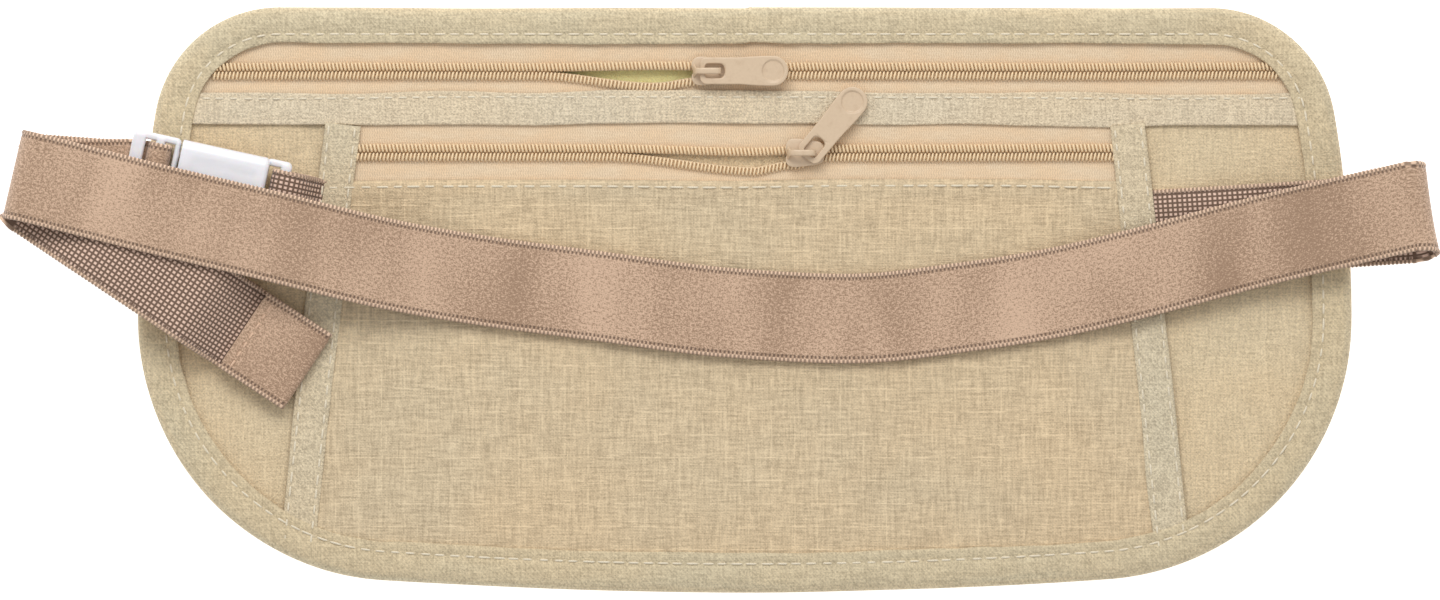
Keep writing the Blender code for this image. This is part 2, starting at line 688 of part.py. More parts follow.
def make_left_side(route, sides, parts, belt):
    """Everything left of the buckle: the return strand, the bar wrap and the folded tail."""
    profile = bar_wrap_profile()
    wrap = [buckle_point(u, 0.0, z) for u, z in profile]
    webbing("belt_bar_wrap", wrap, [buckle_side()] * len(wrap), belt, parts)

    end = route[-1]
    front_side = tuple(-np.array(sides[-1]))
    turn = math.radians(BUCKLE_TURN)
    outward = np.array([-math.cos(turn), -math.sin(turn), 0.0])
    fold = (end[0], end[1], ANCHOR_Z)
    bend = turn_over(end, fold, outward, front_side, buckle_side())
    webbing("belt_left_bend", *bend, belt, parts)
    back = straight(fold, buckle_point(profile[0][0] - GAP, 0.0, ANCHOR_Z), 4)
    webbing("belt_return", back, [buckle_side()] * len(back), belt, parts)

    tail_start = buckle_point(profile[-1][0] - GAP, 0.0, TAIL_Z)
    tail_end = buckle_point(TAIL_FOLD_U, TAIL_FOLD_V[0], TAIL_Z)
    tail = straight(tail_start, tail_end, 4)
    webbing("belt_tail", tail, [buckle_side()] * len(tail), belt, parts)
    upper = buckle_point(TAIL_FOLD_U, TAIL_FOLD_V[1], TAIL_Z + 2 * TAIL_FOLD_RADIUS)
    fold = turn_over(tail_end, upper, outward, buckle_side(), buckle_side(TAIL_TURN))
    webbing("belt_tail_fold", *fold, belt, parts)

    angle = math.radians(TAIL_TURN)
    lower, heights = [], (upper[2], TAIL_OVER_BUCKLE_Z, TAIL_END_Z)
    for length in np.linspace(0.0, TAIL_LENGTH, 21):
        u = TAIL_FOLD_U + length * math.cos(angle)
        v = TAIL_FOLD_V[1] + length * math.sin(angle)
        height = heights[0] + (heights[1] - heights[0]) * smoothstep(length, 0.0, 19.0)
        height += (heights[2] - heights[1]) * smoothstep(length, 42.0, 55.0)
        lower.append(buckle_point(u, v, height))
    webbing("belt_tail_end", lower, [buckle_side(TAIL_TURN)] * len(lower), belt, parts)
    hem = []
    for length in (TAIL_LENGTH - HEM_LENGTH, TAIL_LENGTH):
        u = TAIL_FOLD_U + length * math.cos(angle)
        v = TAIL_FOLD_V[1] + length * math.sin(angle)
        hem.append(buckle_point(u, v, TAIL_END_Z + BELT_THICKNESS + GAP))
    webbing("belt_hem", hem, [buckle_side(TAIL_TURN)] * 2, belt, parts)


def make_tab(parts, belt):
    """Short loop of elastic from the left seam round the socket shell's bar."""
    middle = (TAB_BAR_U[0] + TAB_BAR_U[1]) / 2
    radius = 2.45
    seam = 26.5
    profile = [(seam, ANCHOR_Z), (seam - 5.0, ANCHOR_Z)]
    profile += arc((middle, BUCKLE_Z), radius, -90.0, -270.0, 8)
    profile += [(seam - 4.0, ANCHOR_Z + 3.2), (seam, ANCHOR_Z + BELT_THICKNESS + GAP)]
    tab = [buckle_point(u, 0.0, z) for u, z in profile]
    webbing("belt_tab", tab, [buckle_side()] * len(tab), belt, parts)


def make_belt(parts, belt):
    route, sides = make_front_strands(parts, belt)
    make_right_loop(route, sides, parts, belt)
    make_left_side(route, sides, parts, belt)
    make_tab(parts, belt)


def main():
    clear_scene()
    parts = make_collection("money_belt")
    cutters = make_collection("money_belt_cutters")
    fabrics = {
        "lining": make_material("lining", (0.60, 0.50, 0.31), 0.85),
        "wing": make_material("wing_fabric", (0.62, 0.50, 0.33), 0.8),
        "band": make_material("band_fabric", (0.66, 0.56, 0.40), 0.8),
        "pocket": make_material("pocket_fabric", (0.62, 0.49, 0.33), 0.8),
        "tape": make_material("side_tape_fabric", (0.60, 0.50, 0.36), 0.85),
        "binding": make_material("binding_fabric", (0.61, 0.50, 0.34), 0.85),
        "zip": make_material("zip_tape", (0.73, 0.56, 0.38), 0.85),
        "coil": make_material("zip_coil", (0.70, 0.54, 0.37), 0.5),
    }
    metal = make_material("painted_slider", (0.74, 0.59, 0.42), 0.4)
    plastic = make_material("buckle_plastic", (0.86, 0.83, 0.86), 0.3)
    belt = make_material("belt_elastic", (0.50, 0.35, 0.24), 0.9)
    make_binding(parts, cutters, fabrics["binding"])
    make_panels(parts, cutters, fabrics)
    make_zips(parts, cutters, fabrics, metal)
    make_buckle(parts, cutters, plastic)
    make_belt(parts, belt)


main()
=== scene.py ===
"""Flat travel money belt: cloth, coil zips, painted sliders, elastic webbing and a white buckle.

Run as a script. Each operator makes one group of pieces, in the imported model's frame.
"""

import json

import bmesh
import bpy
import numpy as np
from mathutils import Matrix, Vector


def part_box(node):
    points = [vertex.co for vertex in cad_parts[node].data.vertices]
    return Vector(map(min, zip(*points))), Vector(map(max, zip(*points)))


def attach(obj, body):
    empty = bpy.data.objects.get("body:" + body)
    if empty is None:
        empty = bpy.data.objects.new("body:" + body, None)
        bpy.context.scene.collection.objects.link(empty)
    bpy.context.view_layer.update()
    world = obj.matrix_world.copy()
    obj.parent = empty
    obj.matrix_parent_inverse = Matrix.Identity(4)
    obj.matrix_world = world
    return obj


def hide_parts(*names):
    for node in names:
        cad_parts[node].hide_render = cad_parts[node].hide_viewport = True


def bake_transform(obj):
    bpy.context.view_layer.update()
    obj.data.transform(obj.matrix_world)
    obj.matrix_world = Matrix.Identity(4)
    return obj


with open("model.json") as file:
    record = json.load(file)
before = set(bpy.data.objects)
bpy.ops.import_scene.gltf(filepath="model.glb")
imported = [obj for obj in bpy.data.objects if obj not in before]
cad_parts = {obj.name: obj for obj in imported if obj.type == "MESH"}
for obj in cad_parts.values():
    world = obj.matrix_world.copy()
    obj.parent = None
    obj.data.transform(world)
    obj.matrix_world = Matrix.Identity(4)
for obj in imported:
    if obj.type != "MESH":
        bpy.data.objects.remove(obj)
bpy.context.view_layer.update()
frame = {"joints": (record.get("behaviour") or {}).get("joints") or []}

bl_info = {
    "name": "Money belt",
    "version": (1, 0, 0),
    "blender": (4, 5, 0),
    "location": "View3D > Sidebar > Money Belt",
    "description": "Makes the cloth, zips, webbing and buckle of a flat travel money belt",
    "category": "Object",
}

MM = 0.001
MERGE_DISTANCE = 0.000002
PANEL_INSET = 0.0035


def display_colour(code):
    """Linear RGBA of a display colour written as six hexadecimal digits."""
    levels = np.array([int(code[i : i + 2], 16) for i in (0, 2, 4)]) / 255.0
    linear = np.where(levels <= 0.04045, levels / 12.92, ((levels + 0.055) / 1.055) ** 2.4)
    return (*[float(c) for c in linear], 1.0)


def length_property(name, description, default):
    return bpy.props.FloatProperty(
        name=name, description=description, default=default, min=0.0, unit="LENGTH", precision=5
    )


def angle_property(name, description, degrees):
    return bpy.props.FloatProperty(
        name=name, description=description, default=np.radians(degrees), subtype="ANGLE"
    )


def power_property(name, description, default):
    return bpy.props.FloatProperty(name=name, description=description, default=default, min=0.0)


def colour_property(name, description, code):
    colour = display_colour(code)
    return bpy.props.FloatVectorProperty(
        name=name, description=description, default=colour, size=4, min=0.0, max=1.0, subtype="COLOR"
    )


# ---------------------------------------------------------------- settings


class PouchSettings(bpy.types.PropertyGroup):
    """Sizes of the sewn pouch."""

    top_corner: length_property("Top corner", "Radius of the two corners by the zips", 0.028)
    bottom_corner: length_property("Bottom corner", "Radius of the two large corners", 0.058)
    side_lean: angle_property("Side lean", "Direction of the sides below the top corners", 80.0)
    bottom_bow: angle_property("Bottom bow", "Direction at the ends of the bowed bottom edge", 176.0)
    cloth: length_property("Cloth", "Thickness of one layer of cloth", 0.0004)
    band_fabric: colour_property("Band", "Strip between the zips", "E4D3B6")
    pocket_fabric: colour_property("Pocket", "Ripstop of the front pocket", "D7C2A0")
    wing_fabric: colour_property("Wings", "Smooth cloth beside the pocket", "E1CCA8")
    binding_fabric: colour_property("Binding", "Folded strip round the rim", "D6C6A5")
    tape_fabric: colour_property("Side tapes", "Strips over the pocket's side seams", "DCCDAF")
    lining_fabric: colour_property("Lining", "Back panel, seen through the open zip", "FFE8A4")
    thread: colour_property("Thread", "Running stitches", "EFE4CC")


class ZipSettings(bpy.types.PropertyGroup):
    """Sizes of the two coil zips."""

    pitch: length_property("Coil pitch", "Length of one turn of the coil", 0.00084)
    wire: length_property("Coil wire", "Radius of the coil's wire", 0.00026)
    coil_width: length_property("Coil width", "Half the width of a coil to its wire's centre", 0.00078)
    coil_height: length_property("Coil height", "Half the height of a coil to its wire's centre", 0.00042)
    upper_gape: length_property("Upper gape", "Widest opening of the upper chain", 0.0025)
    lower_gape: length_property("Lower gape", "Widest opening of the lower chain", 0.0024)
    tape: colour_property("Tape", "Woven zip tape", "ECD3B2")
    coil: colour_property("Coil", "Nylon coil", "E6CCA6")
    paint: colour_property("Paint", "Painted sliders and pull tabs", "D5BDA0")


class BeltSettings(bpy.types.PropertyGroup):
    """Sizes of the elastic belt."""

    width: length_property("Width", "Width of the elastic", 0.020)
    step: length_property("Step", "Spacing of the rows along the belt", 0.00024)
    picot: length_property("Picot pitch", "Spacing of the edge's small loops", 0.0009)
    face: colour_property("Face", "Brushed face", "C6A88F")
    face_shade: colour_property("Face shade", "Dips of the brushed face", "A98A71")
    rib: colour_property("Rib", "Ribs of the woven reverse", "C7AB9A")
    rib_shade: colour_property("Rib shade", "Gaps of the woven reverse", "7A6150")


class BuckleSettings(bpy.types.PropertyGroup):
    """Sizes of the side-release buckle, along and across the belt."""

    turn: angle_property("Turn", "Direction of the buckle's axis in plan", -12.3)
    width: length_property("Width", "Width across the belt", 0.024)
    shell_height: length_property("Shell height", "Thickness of the socket", 0.0064)
    bar_height: length_property("Bar height", "Thickness of the bars", 0.0026)
    plastic: colour_property("Plastic", "Moulded white plastic", "F4F2F6")


class StageSettings(bpy.types.PropertyGroup):
    """Camera and light."""

    distance: length_property("Distance", "Camera height over the pouch", 4.0)
    view_width: length_property("View width", "Width seen at the pouch's face", 0.320)
    floor: colour_property("Floor", "Pale table", "F7F7F7")
    key_power: power_property("Key light", "Power of the large soft light", 7.5)
    fill_power: power_property("Fill light", "Brightness of the surroundings", 0.62)


SETTINGS = {
    "belt_pouch": PouchSettings,
    "belt_zip": ZipSettings,
    "belt_webbing": BeltSettings,
    "belt_buckle": BuckleSettings,
    "belt_stage": StageSettings,
}


def settings(name):
    return getattr(bpy.context.scene, "belt_" + name)


def node_box(name):
    """Lowest and highest corner of a CAD node, as arrays in metres."""
    low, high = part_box(name)
    return np.array(low), np.array(high)


# ---------------------------------------------------------------- curves and fields


def smoothstep(value, start, end):
    """0 before start, 1 after end, and 3t^2 - 2t^3 between."""
    t = np.clip((np.asarray(value, float) - start) / (end - start), 0.0, 1.0)
    return t * t * (3 - 2 * t)


def hump(value, centre, width):
    """A bell exp(-((value - centre) / width)^2)."""
    return np.exp(-(((np.asarray(value, float) - centre) / width) ** 2))


def wander(value, wavelength, seed):
    """Smooth random curve from -1 to 1: random knots one wavelength apart, joined by cosines."""
    rng = np.random.default_rng(seed)
    knots = rng.uniform(-1.0, 1.0, 512)
    place = np.asarray(value, float) / wavelength + 100.0
    whole = np.floor(place).astype(int)
    blend = (1 - np.cos(np.pi * (place - whole))) / 2
    return knots[whole % 512] * (1 - blend) + knots[(whole + 1) % 512] * blend


def ripple(x, y, wavelength, seed, waves=7):
    """Soft random relief from -1 to 1: sines of about one wavelength in random directions."""
    rng = np.random.default_rng(seed)
    total = np.zeros(np.broadcast(x, y).shape)
    ranges = ((0, np.pi), (0, 6.28), (0.7, 1.5))
    for angle, phase, stretch in zip(*[rng.uniform(low, high, waves) for low, high in ranges]):
        total += np.sin(6.283 * (x * np.cos(angle) + y * np.sin(angle)) / (wavelength * stretch) + phase)
    return total / waves * 1.6


def arc(centre, radius, start, end, steps):
    """Points of a circle from one angle to another, in degrees, both ends included."""
    angle = np.radians(np.linspace(start, end, steps + 1))
    return np.stack([centre[0] + radius * np.cos(angle), centre[1] + radius * np.sin(angle)], 1)


def smooth_route(points, steps=8):
    """Catmull-Rom curve: on each span a cubic through its ends, sloped like its neighbours."""
    p = np.array(points, float)
    p = np.vstack([2 * p[0] - p[1], p, 2 * p[-1] - p[-2]])
    t = (np.arange(steps) / steps)[None, :, None]
    a, b, c, d = (p[i : len(p) - 3 + i][:, None, :] for i in range(4))
    cubic = 0.5 * (2 * b + (c - a) * t + (2 * a - 5 * b + 4 * c - d) * t**2 + (3 * b - a - 3 * c + d) * t**3)
    return np.vstack([cubic.reshape(-1, p.shape[1]), p[-2]])


def path_length(points):
    return np.concatenate([[0.0], np.cumsum(np.linalg.norm(np.diff(points, axis=0), axis=1))])


def resample(points, step, *others):
    """The same route with even steps, and any values given along it carried over."""
    along = path_length(points)
    even = np.linspace(0.0, along[-1], max(int(round(along[-1] / step)), 2) + 1)
    pick = lambda values: np.stack([np.interp(even, along, column) for column in np.asarray(values).T], 1)
    return (even, pick(points), *(pick(other) for other in others))


def soften(points, reach):
    """Rounds a route's corners: each inner point becomes the bell-weighted mean of reach neighbours."""
    offsets = np.arange(-reach, reach + 1)
    weight = np.exp(-((offsets / (reach * 0.5)) ** 2))
    weight /= weight.sum()
    before, after = 2 * points[0] - points[reach:0:-1], 2 * points[-1] - points[-2 : -reach - 2 : -1]
    padded = np.vstack([before, points, after])
    return np.stack([np.convolve(column, weight, "valid") for column in padded.T], 1)


def unit(vectors):
    return vectors / np.linalg.norm(vectors, axis=-1, keepdims=True)


# ---------------------------------------------------------------- meshes


def grid_quads(rows, columns, wrap_rows=False, wrap_columns=False):
    """Quads of a grid of points, with the rows or the columns closed into a loop on request."""
    spans = (rows if wrap_rows else rows - 1, columns if wrap_columns else columns - 1)
    r, c = np.meshgrid(*map(np.arange, spans), indexing="ij")
    here, below, beside = r * columns, (r + 1) % rows * columns, (c + 1) % columns
    quads = np.stack([here + c, below + c, below + beside, here + beside], -1)
    return quads.reshape(-1, 4), r.reshape(-1), c.reshape(-1)


def finish_mesh(name, points, faces, material, marks=None):
    """Object of a closed mesh: points that share a place are joined and its faces turned outward."""
    mesh = bpy.data.meshes.new(name)
    mesh.from_pydata(np.asarray(points, float).reshape(-1, 3).tolist(), [], faces)
    for mark, values in (marks or {}).items():
        kept = mesh.attributes.new(mark, "FLOAT", "POINT")
        kept.data.foreach_set("value", np.asarray(values, np.float32).reshape(-1))
    form = bmesh.new()
    form.from_mesh(mesh)
    bmesh.ops.remove_doubles(form, verts=form.verts, dist=MERGE_DISTANCE)
    bmesh.ops.recalc_face_normals(form, faces=form.faces)
    form.to_mesh(mesh)
    form.free()
    mesh.materials.append(material)
    mesh.polygons.foreach_set("use_smooth", [True] * len(mesh.polygons))
    obj = bpy.data.objects.new(name, mesh)
    bpy.context.scene.collection.objects.link(obj)
    return obj


def surface(name, points, material, wrap=(False, True), capped=False, marks=None):
    """A closed mesh on a grid of points; marks are values per point, kept as attributes."""
    rows, columns = points.shape[:2]
    faces = grid_quads(rows, columns, *wrap)[0].tolist()
    if capped:
        faces.append(list(range(columns)))
        faces.append(list(range((rows - 1) * columns, rows * columns))[::-1])
    return finish_mesh(name, points, faces, material, marks)


def joined(name, pieces):
    """One object from several, with the first one's material slots extended by the others'."""
    with bpy.context.temp_override(
        active_object=pieces[0], object=pieces[0], selected_objects=pieces, selected_editable_objects=pieces
    ):
        bpy.ops.object.join()
    pieces[0].name = name
    pieces[0].data.name = name
    return pieces[0]


def rim_rings(outline, low, high, edge):
    """Rings up a closed outline's rounded rim: at angle a they step in by edge * (1 - sin a)."""
    along = unit(np.roll(outline, -1, 0) - np.roll(outline, 1, 0))
    inward = np.stack([-along[:, 1], along[:, 0]], 1)
    quarter = np.radians(np.linspace(0.0, 90.0, 4))
    rim = [(edge * (1 - np.sin(a)), low + edge * (1 - np.cos(a))) for a in quarter]
    rim += [(step, low + high - z) for step, z in reversed(rim)]
    return [np.column_stack([outline + inward * step, np.full(len(outline), z)]) for step, z in rim]


def slab(name, outline, low, high, edge, material, place):
    """Flat plate with rounded rims on a closed outline."""
    points = place(np.stack(rim_rings(outline, low, high, edge)))
    rows, columns = points.shape[:2]
    quads, _, _ = grid_quads(rows, columns, False, True)
    faces = quads[:, ::-1].tolist()
    faces.append(list(range(columns))[::-1])
    faces.append(list(range((rows - 1) * columns, rows * columns)))
    return finish_mesh(name, points, faces, material)


def swept(name, path, side, profile, material):
    """Profile carried along a path: point = path + side * a + (side x direction) * h."""
    direction = unit(np.gradient(path, axis=0))
    up = unit(np.cross(side, direction))
    points = path[:, None] + side[:, None] * profile[None, :, :1] + up[:, None] * profile[None, :, 1:2]
    return surface(name, points, material, capped=True)


def rounded_profile(width, height, radius, steps=3):
    """Rounded rectangle, anticlockwise from its top right corner."""
    a, b = width / 2 - radius, height / 2 - radius
    corners = [((a, b), 0), ((-a, b), 90), ((-a, -b), 180), ((a, -b), 270)]
    return np.vstack([arc(centre, radius, start, start + 90, steps) for centre, start in corners])


def stitches(name, path, material, pitch, dash, thread=0.00025, body="pouch"):
    """Running stitch: each dash is a thread tube that leaves the cloth, bows over it and goes back.

    A dash at t from -1 to 1 lies reach * t along the seam and thread * (0.45 - 1.17 t^4) above it.
    """
    rings, sides = 7, 6
    along, even = resample(path, 0.0002)
    direction = unit(np.gradient(even, axis=0))
    count = max(int(along[-1] / pitch), 1)
    rng = np.random.default_rng(len(name) * 7 + count)
    middle = (np.arange(count) + 0.5) * along[-1] / count + rng.normal(0, 0.04 * pitch, count)
    t = np.linspace(-1.0, 1.0, rings)
    reach = dash / 2 * rng.uniform(0.72, 1.08, count)
    place = np.clip(middle[:, None] + t[None, :] * reach[:, None], 0, along[-1])
    centre = np.stack([np.interp(place, along, column) for column in even.T], -1)
    heading = unit(np.stack([np.interp(middle, along, column) for column in direction.T], -1))[:, None, :]
    upward = np.array([0.0, 0.0, 1.0])
    sideways = unit(np.cross(upward, heading))
    centre[..., 2] += thread * (0.5 - 1.3 * t[None, :] ** 4) * 0.9
    radius = thread * (1.0 - 0.55 * t**6)[None, :, None, None]
    around = np.radians(np.arange(sides) * 360.0 / sides)
    ring = np.cos(around)[:, None] * sideways[:, :, None, :] + np.sin(around)[:, None] * upward
    points = centre[:, :, None, :] + ring * radius
    quads, _, _ = grid_quads(rings, sides, False, True)
    first = (np.arange(count) * rings * sides)[:, None, None]
    faces = (quads[None] + first).reshape(-1, 4)
    caps = np.stack([np.arange(sides), np.arange(sides)[::-1] + (rings - 1) * sides])
    caps = (caps[None] + first).reshape(-1, sides)
    obj = finish_mesh(name, points, faces[:, ::-1].tolist() + caps.tolist(), material)
    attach(obj, body)


# ---------------------------------------------------------------- shader maths


class Wire:
    """A socket's value in shader maths; each operator adds one Math node to its material."""

    def __init__(self, finish, socket):
        self.finish = finish
        self.socket = socket

    def maths(self, operation, *values, clamp=False):
        sockets = dict(enumerate(values))
        return self.finish.node("ShaderNodeMath", {"operation": operation, "use_clamp": clamp}, sockets)

    def __add__(self, other):
        return self.maths("ADD", self, other)

    def __sub__(self, other):
        return self.maths("SUBTRACT", self, other)

    def __rsub__(self, other):
        return self.maths("SUBTRACT", other, self)

    def __mul__(self, other):
        return self.maths("MULTIPLY", self, other)

    def __truediv__(self, other):
        return self.maths("DIVIDE", self, other)

    def __pow__(self, other):
        return self.maths("POWER", self, other)

    def __abs__(self):
        return self.maths("ABSOLUTE", self)

    __radd__ = __add__
    __rmul__ = __mul__

    def sine(self, wavelength, phase=0.0):
        """Sine of the value with the given wavelength."""
        return self.maths("SINE", self * (6.28318 / wavelength) + phase)

    def ramp(self, low, high):
        """0 at low, 1 at high, straight between and clamped."""
        sockets = {"Value": self, "From Min": low, "From Max": high}
        return self.finish.node("ShaderNodeMapRange", {"clamp": True}, sockets)

    def clamped(self):
        return self.maths("ADD", self, 0.0, clamp=True)


class Finish:
    """A material being made: one Principled shader and the nodes that feed it."""

    def __init__(self, name, roughness, **sockets):
        self.material = bpy.data.materials.new(name)
        self.material.use_nodes = True
        self.tree = self.material.node_tree
        self.shader = self.tree.nodes["Principled BSDF"]
        self.shader.inputs["Roughness"].default_value = roughness
        for label, value in sockets.items():
            self.shader.inputs[label.replace("_", " ")].default_value = value

    def node(self, kind, settings=None, sockets=None, out=0):
        """Adds a node, sets its settings first, then fills or links its sockets."""
        made = self.tree.nodes.new(kind)
        for label, value in (settings or {}).items():
            setattr(made, label, value)
        for label, value in (sockets or {}).items():
            self.connect(value, made.inputs[label])
        return Wire(self, made.outputs[out])

    def connect(self, value, socket):
        if isinstance(value, Wire):
            self.tree.links.new(value.socket, socket)
        else:
            socket.default_value = value

    def put(self, **sockets):
        for label, value in sockets.items():
            self.connect(value, self.shader.inputs[label.replace("_", " ")])

    def place(self):
        """Object coordinates in millimetres, as three wires."""
        coordinates = self.node("ShaderNodeTexCoord", out=3)
        scaled = self.node("ShaderNodeVectorMath", {"operation": "SCALE"}, {0: coordinates, "Scale": 1000.0})
        return self.axes(scaled)

    def mark(self, name):
        """A number kept on the mesh's points."""
        return self.node("ShaderNodeAttribute", {"attribute_name": name}, out=2)

    def axes(self, vector):
        split = self.tree.nodes.new("ShaderNodeSeparateXYZ")
        self.tree.links.new(vector.socket, split.inputs[0])
        return [Wire(self, output) for output in split.outputs]

    def noise(self, x, y, z=0.0, detail=2.0, roughness=0.5):
        vector = self.node("ShaderNodeCombineXYZ", None, {0: x, 1: y, 2: z})
        sockets = {"Vector": vector, "Scale": 1.0, "Detail": detail, "Roughness": roughness}
        return self.node("ShaderNodeTexNoise", {"noise_dimensions": "3D"}, sockets)

    def mix(self, share, low, high):
        """Colour from low to high by share."""
        made = self.tree.nodes.new("ShaderNodeMix")
        made.data_type = "RGBA"
        self.connect(share, made.inputs[0])
        self.connect(low, made.inputs[6])
        self.connect(high, made.inputs[7])
        return Wire(self, made.outputs[2])

    def bump(self, height, strength, distance):
        sockets = {"Height": height, "Strength": strength, "Distance": distance}
        self.put(Normal=self.node("ShaderNodeBump", None, sockets))


def shade(colour, factor, warmth=0.0):
    """The colour made lighter or darker, and warmer by moving red up and blue down."""
    r, g, b, a = colour
    tuned = (r * factor * (1 + warmth), g * factor, b * factor * (1 - warmth))
    return (*[min(float(c), 1.0) for c in tuned], a)


def cloth_finish(name, colour, grid=0.0, twill=0.0, slub=0.5, fleck=0.5, spread=0.27):
    """Plain woven cloth: slub streaks both ways, flecks, thread relief and soft patches of tint.

    grid adds broken ripstop lines 5 mm apart, twill adds a diagonal rib.
    """
    finish = Finish(name, 0.85, Sheen_Weight=0.12, Sheen_Roughness=0.5)
    x, y, z = finish.place()
    across = finish.noise(x * 0.2, y * 2.1, z, 3.0, 0.6)
    down = finish.noise(x * 2.1, y * 0.2, z * 0.9, 3.0, 0.6)
    grain = finish.noise(x * 1.9, y * 1.9, z, 3.0, 0.75)
    patch = finish.noise(x * 0.022, y * 0.03, z, 2.0)
    thread = x.sine(0.75) * y.sine(0.75)
    relief = (across + down - 1.0) * slub * 1.9 + (grain - 0.5) * fleck * 3.2 + thread * 0.12
    if grid:
        broken = finish.noise(x * 0.35, y * 0.35, z, 2.0).ramp(0.42, 0.62)
        lines = (x.sine(5.1) * 0.5 + 0.5) ** 90.0 + (y.sine(5.1, 0.9) * 0.5 + 0.5) ** 90.0
        relief = relief + lines * broken * grid
    if twill:
        relief = relief + (x + y * 0.8).sine(1.0) * 0.14 * twill
    tone = (relief * 0.8 + 0.5).clamped()
    warm = patch.ramp(0.35, 0.65)
    deep = finish.mix(warm, shade(colour, 1 - spread, 0.05), shade(colour, 1 - spread, 0.01))
    pale = finish.mix(warm, shade(colour, 1 + spread, 0.025), shade(colour, 1 + spread, -0.02))
    finish.put(Base_Color=finish.mix(tone, deep, pale), Roughness=0.9 - tone * 0.12)
    finish.bump(relief, 0.55, 0.0003)
    return finish.material


def tape_finish(name, colour):
    """Zip tape: fine upright ribs with a faint herringbone and slubs along the tape."""
    finish = Finish(name, 0.8, Sheen_Weight=0.1, Sheen_Roughness=0.4)
    x, y, z = finish.place()
    rib = (x + abs(y.sine(2.4)) * 0.25).sine(0.55)
    slub = finish.noise(x * 0.4, y * 4.0, z, 2.0)
    grain = finish.noise(x * 2.2, y * 2.2, z, 2.0)
    patch = finish.noise(x * 0.12, y * 0.3, z, 2.0)
    relief = rib * 0.42 + (slub - 0.5) * 1.1 + (grain - 0.5) * 1.3
    tone = (relief * 0.6 + 0.5).clamped()
    pale = finish.mix(patch.ramp(0.35, 0.65), shade(colour, 1.06, 0.05), shade(colour, 1.12, -0.03))
    finish.put(Base_Color=finish.mix(tone, shade(colour, 0.74, 0.04), pale), Roughness=0.86 - tone * 0.12)
    finish.bump(relief, 0.3, 0.0002)
    return finish.material


def coil_finish(name, colour):
    """Nylon coil: a satin plastic, darker towards the low side of its turns by painted shade, and with random
    wear.
    """
    finish = Finish(name, 0.45)
    x, y, z = finish.place()
    wear = finish.noise(x * 0.8, y * 0.8, z * 2.0, 3.0)
    # low darkens the lower turns: painted shade under the coil, mixed below with random wear
    low = 1.0 - z.ramp(3.0, 3.9)
    painted_shade_and_wear = (low * 0.6 + (wear - 0.5) * 0.5).clamped()
    tint = finish.mix(painted_shade_and_wear, shade(colour, 1.16), shade(colour, 0.66, 0.06))
    finish.put(Base_Color=tint, Roughness=0.4 + wear * 0.25)
    finish.bump(wear, 0.15, 0.0001)
    return finish.material


def thread_finish(name, colour):
    """Twisted sewing thread."""
    finish = Finish(name, 0.75, Sheen_Weight=0.3, Sheen_Roughness=0.4)
    x, y, z = finish.place()
    twist = (x + y + z * 2.0).sine(0.45)
    fuzz = finish.noise(x * 3.0, y * 3.0, z * 3.0, 2.0)
    tone = (twist * 0.25 + fuzz).clamped()
    tint = finish.mix(tone, shade(colour, 0.78, 0.03), shade(colour, 1.08))
    finish.put(Base_Color=tint, Roughness=0.85 - fuzz * 0.2)
    finish.bump(twist * 0.5 + fuzz, 0.3, 0.0001)
    return finish.material


def paint_finish(name, colour):
    """Satin paint on die-cast metal: orange-peel, and slightly worn in darker random patches."""
    finish = Finish(name, 0.38, Coat_Weight=0.25, Coat_Roughness=0.25)
    x, y, z = finish.place()
    peel = finish.noise(x * 1.6, y * 1.6, z * 1.6, 2.0)
    speck = finish.noise(x * 6.0, y * 6.0, z * 6.0, 2.0)
    worn = (finish.noise(x * 0.5, y * 0.5, z * 0.5, 4.0) + speck * 0.3).ramp(0.72, 0.86)
    tone = finish.mix(peel, shade(colour, 0.93, 0.02), shade(colour, 1.06))
    finish.put(Base_Color=finish.mix(worn, tone, shade(colour, 0.9, 0.03)), Roughness=0.34 + speck * 0.18)
    finish.bump(peel + speck * 0.3, 0.12, 0.0002)
    return finish.material


def plastic_finish(name, colour):
    """Moulded white plastic: a slight translucence and fine tool marks."""
    finish = Finish(name, 0.3, Coat_Weight=0.15, Coat_Roughness=0.2)
    finish.put(Subsurface_Weight=0.12, Subsurface_Scale=0.002)
    x, y, z = finish.place()
    flow = finish.noise(x * 0.25, y * 0.8, z * 0.5, 2.0)
    fine = finish.noise(x * 5.0, y * 5.0, z * 5.0, 2.0)
    finish.put(Base_Color=finish.mix(flow, shade(colour, 0.9, -0.015), colour), Roughness=0.24 + fine * 0.16)
    finish.bump(flow * 0.4 + fine * 0.2, 0.08, 0.0003)
    return finish.material


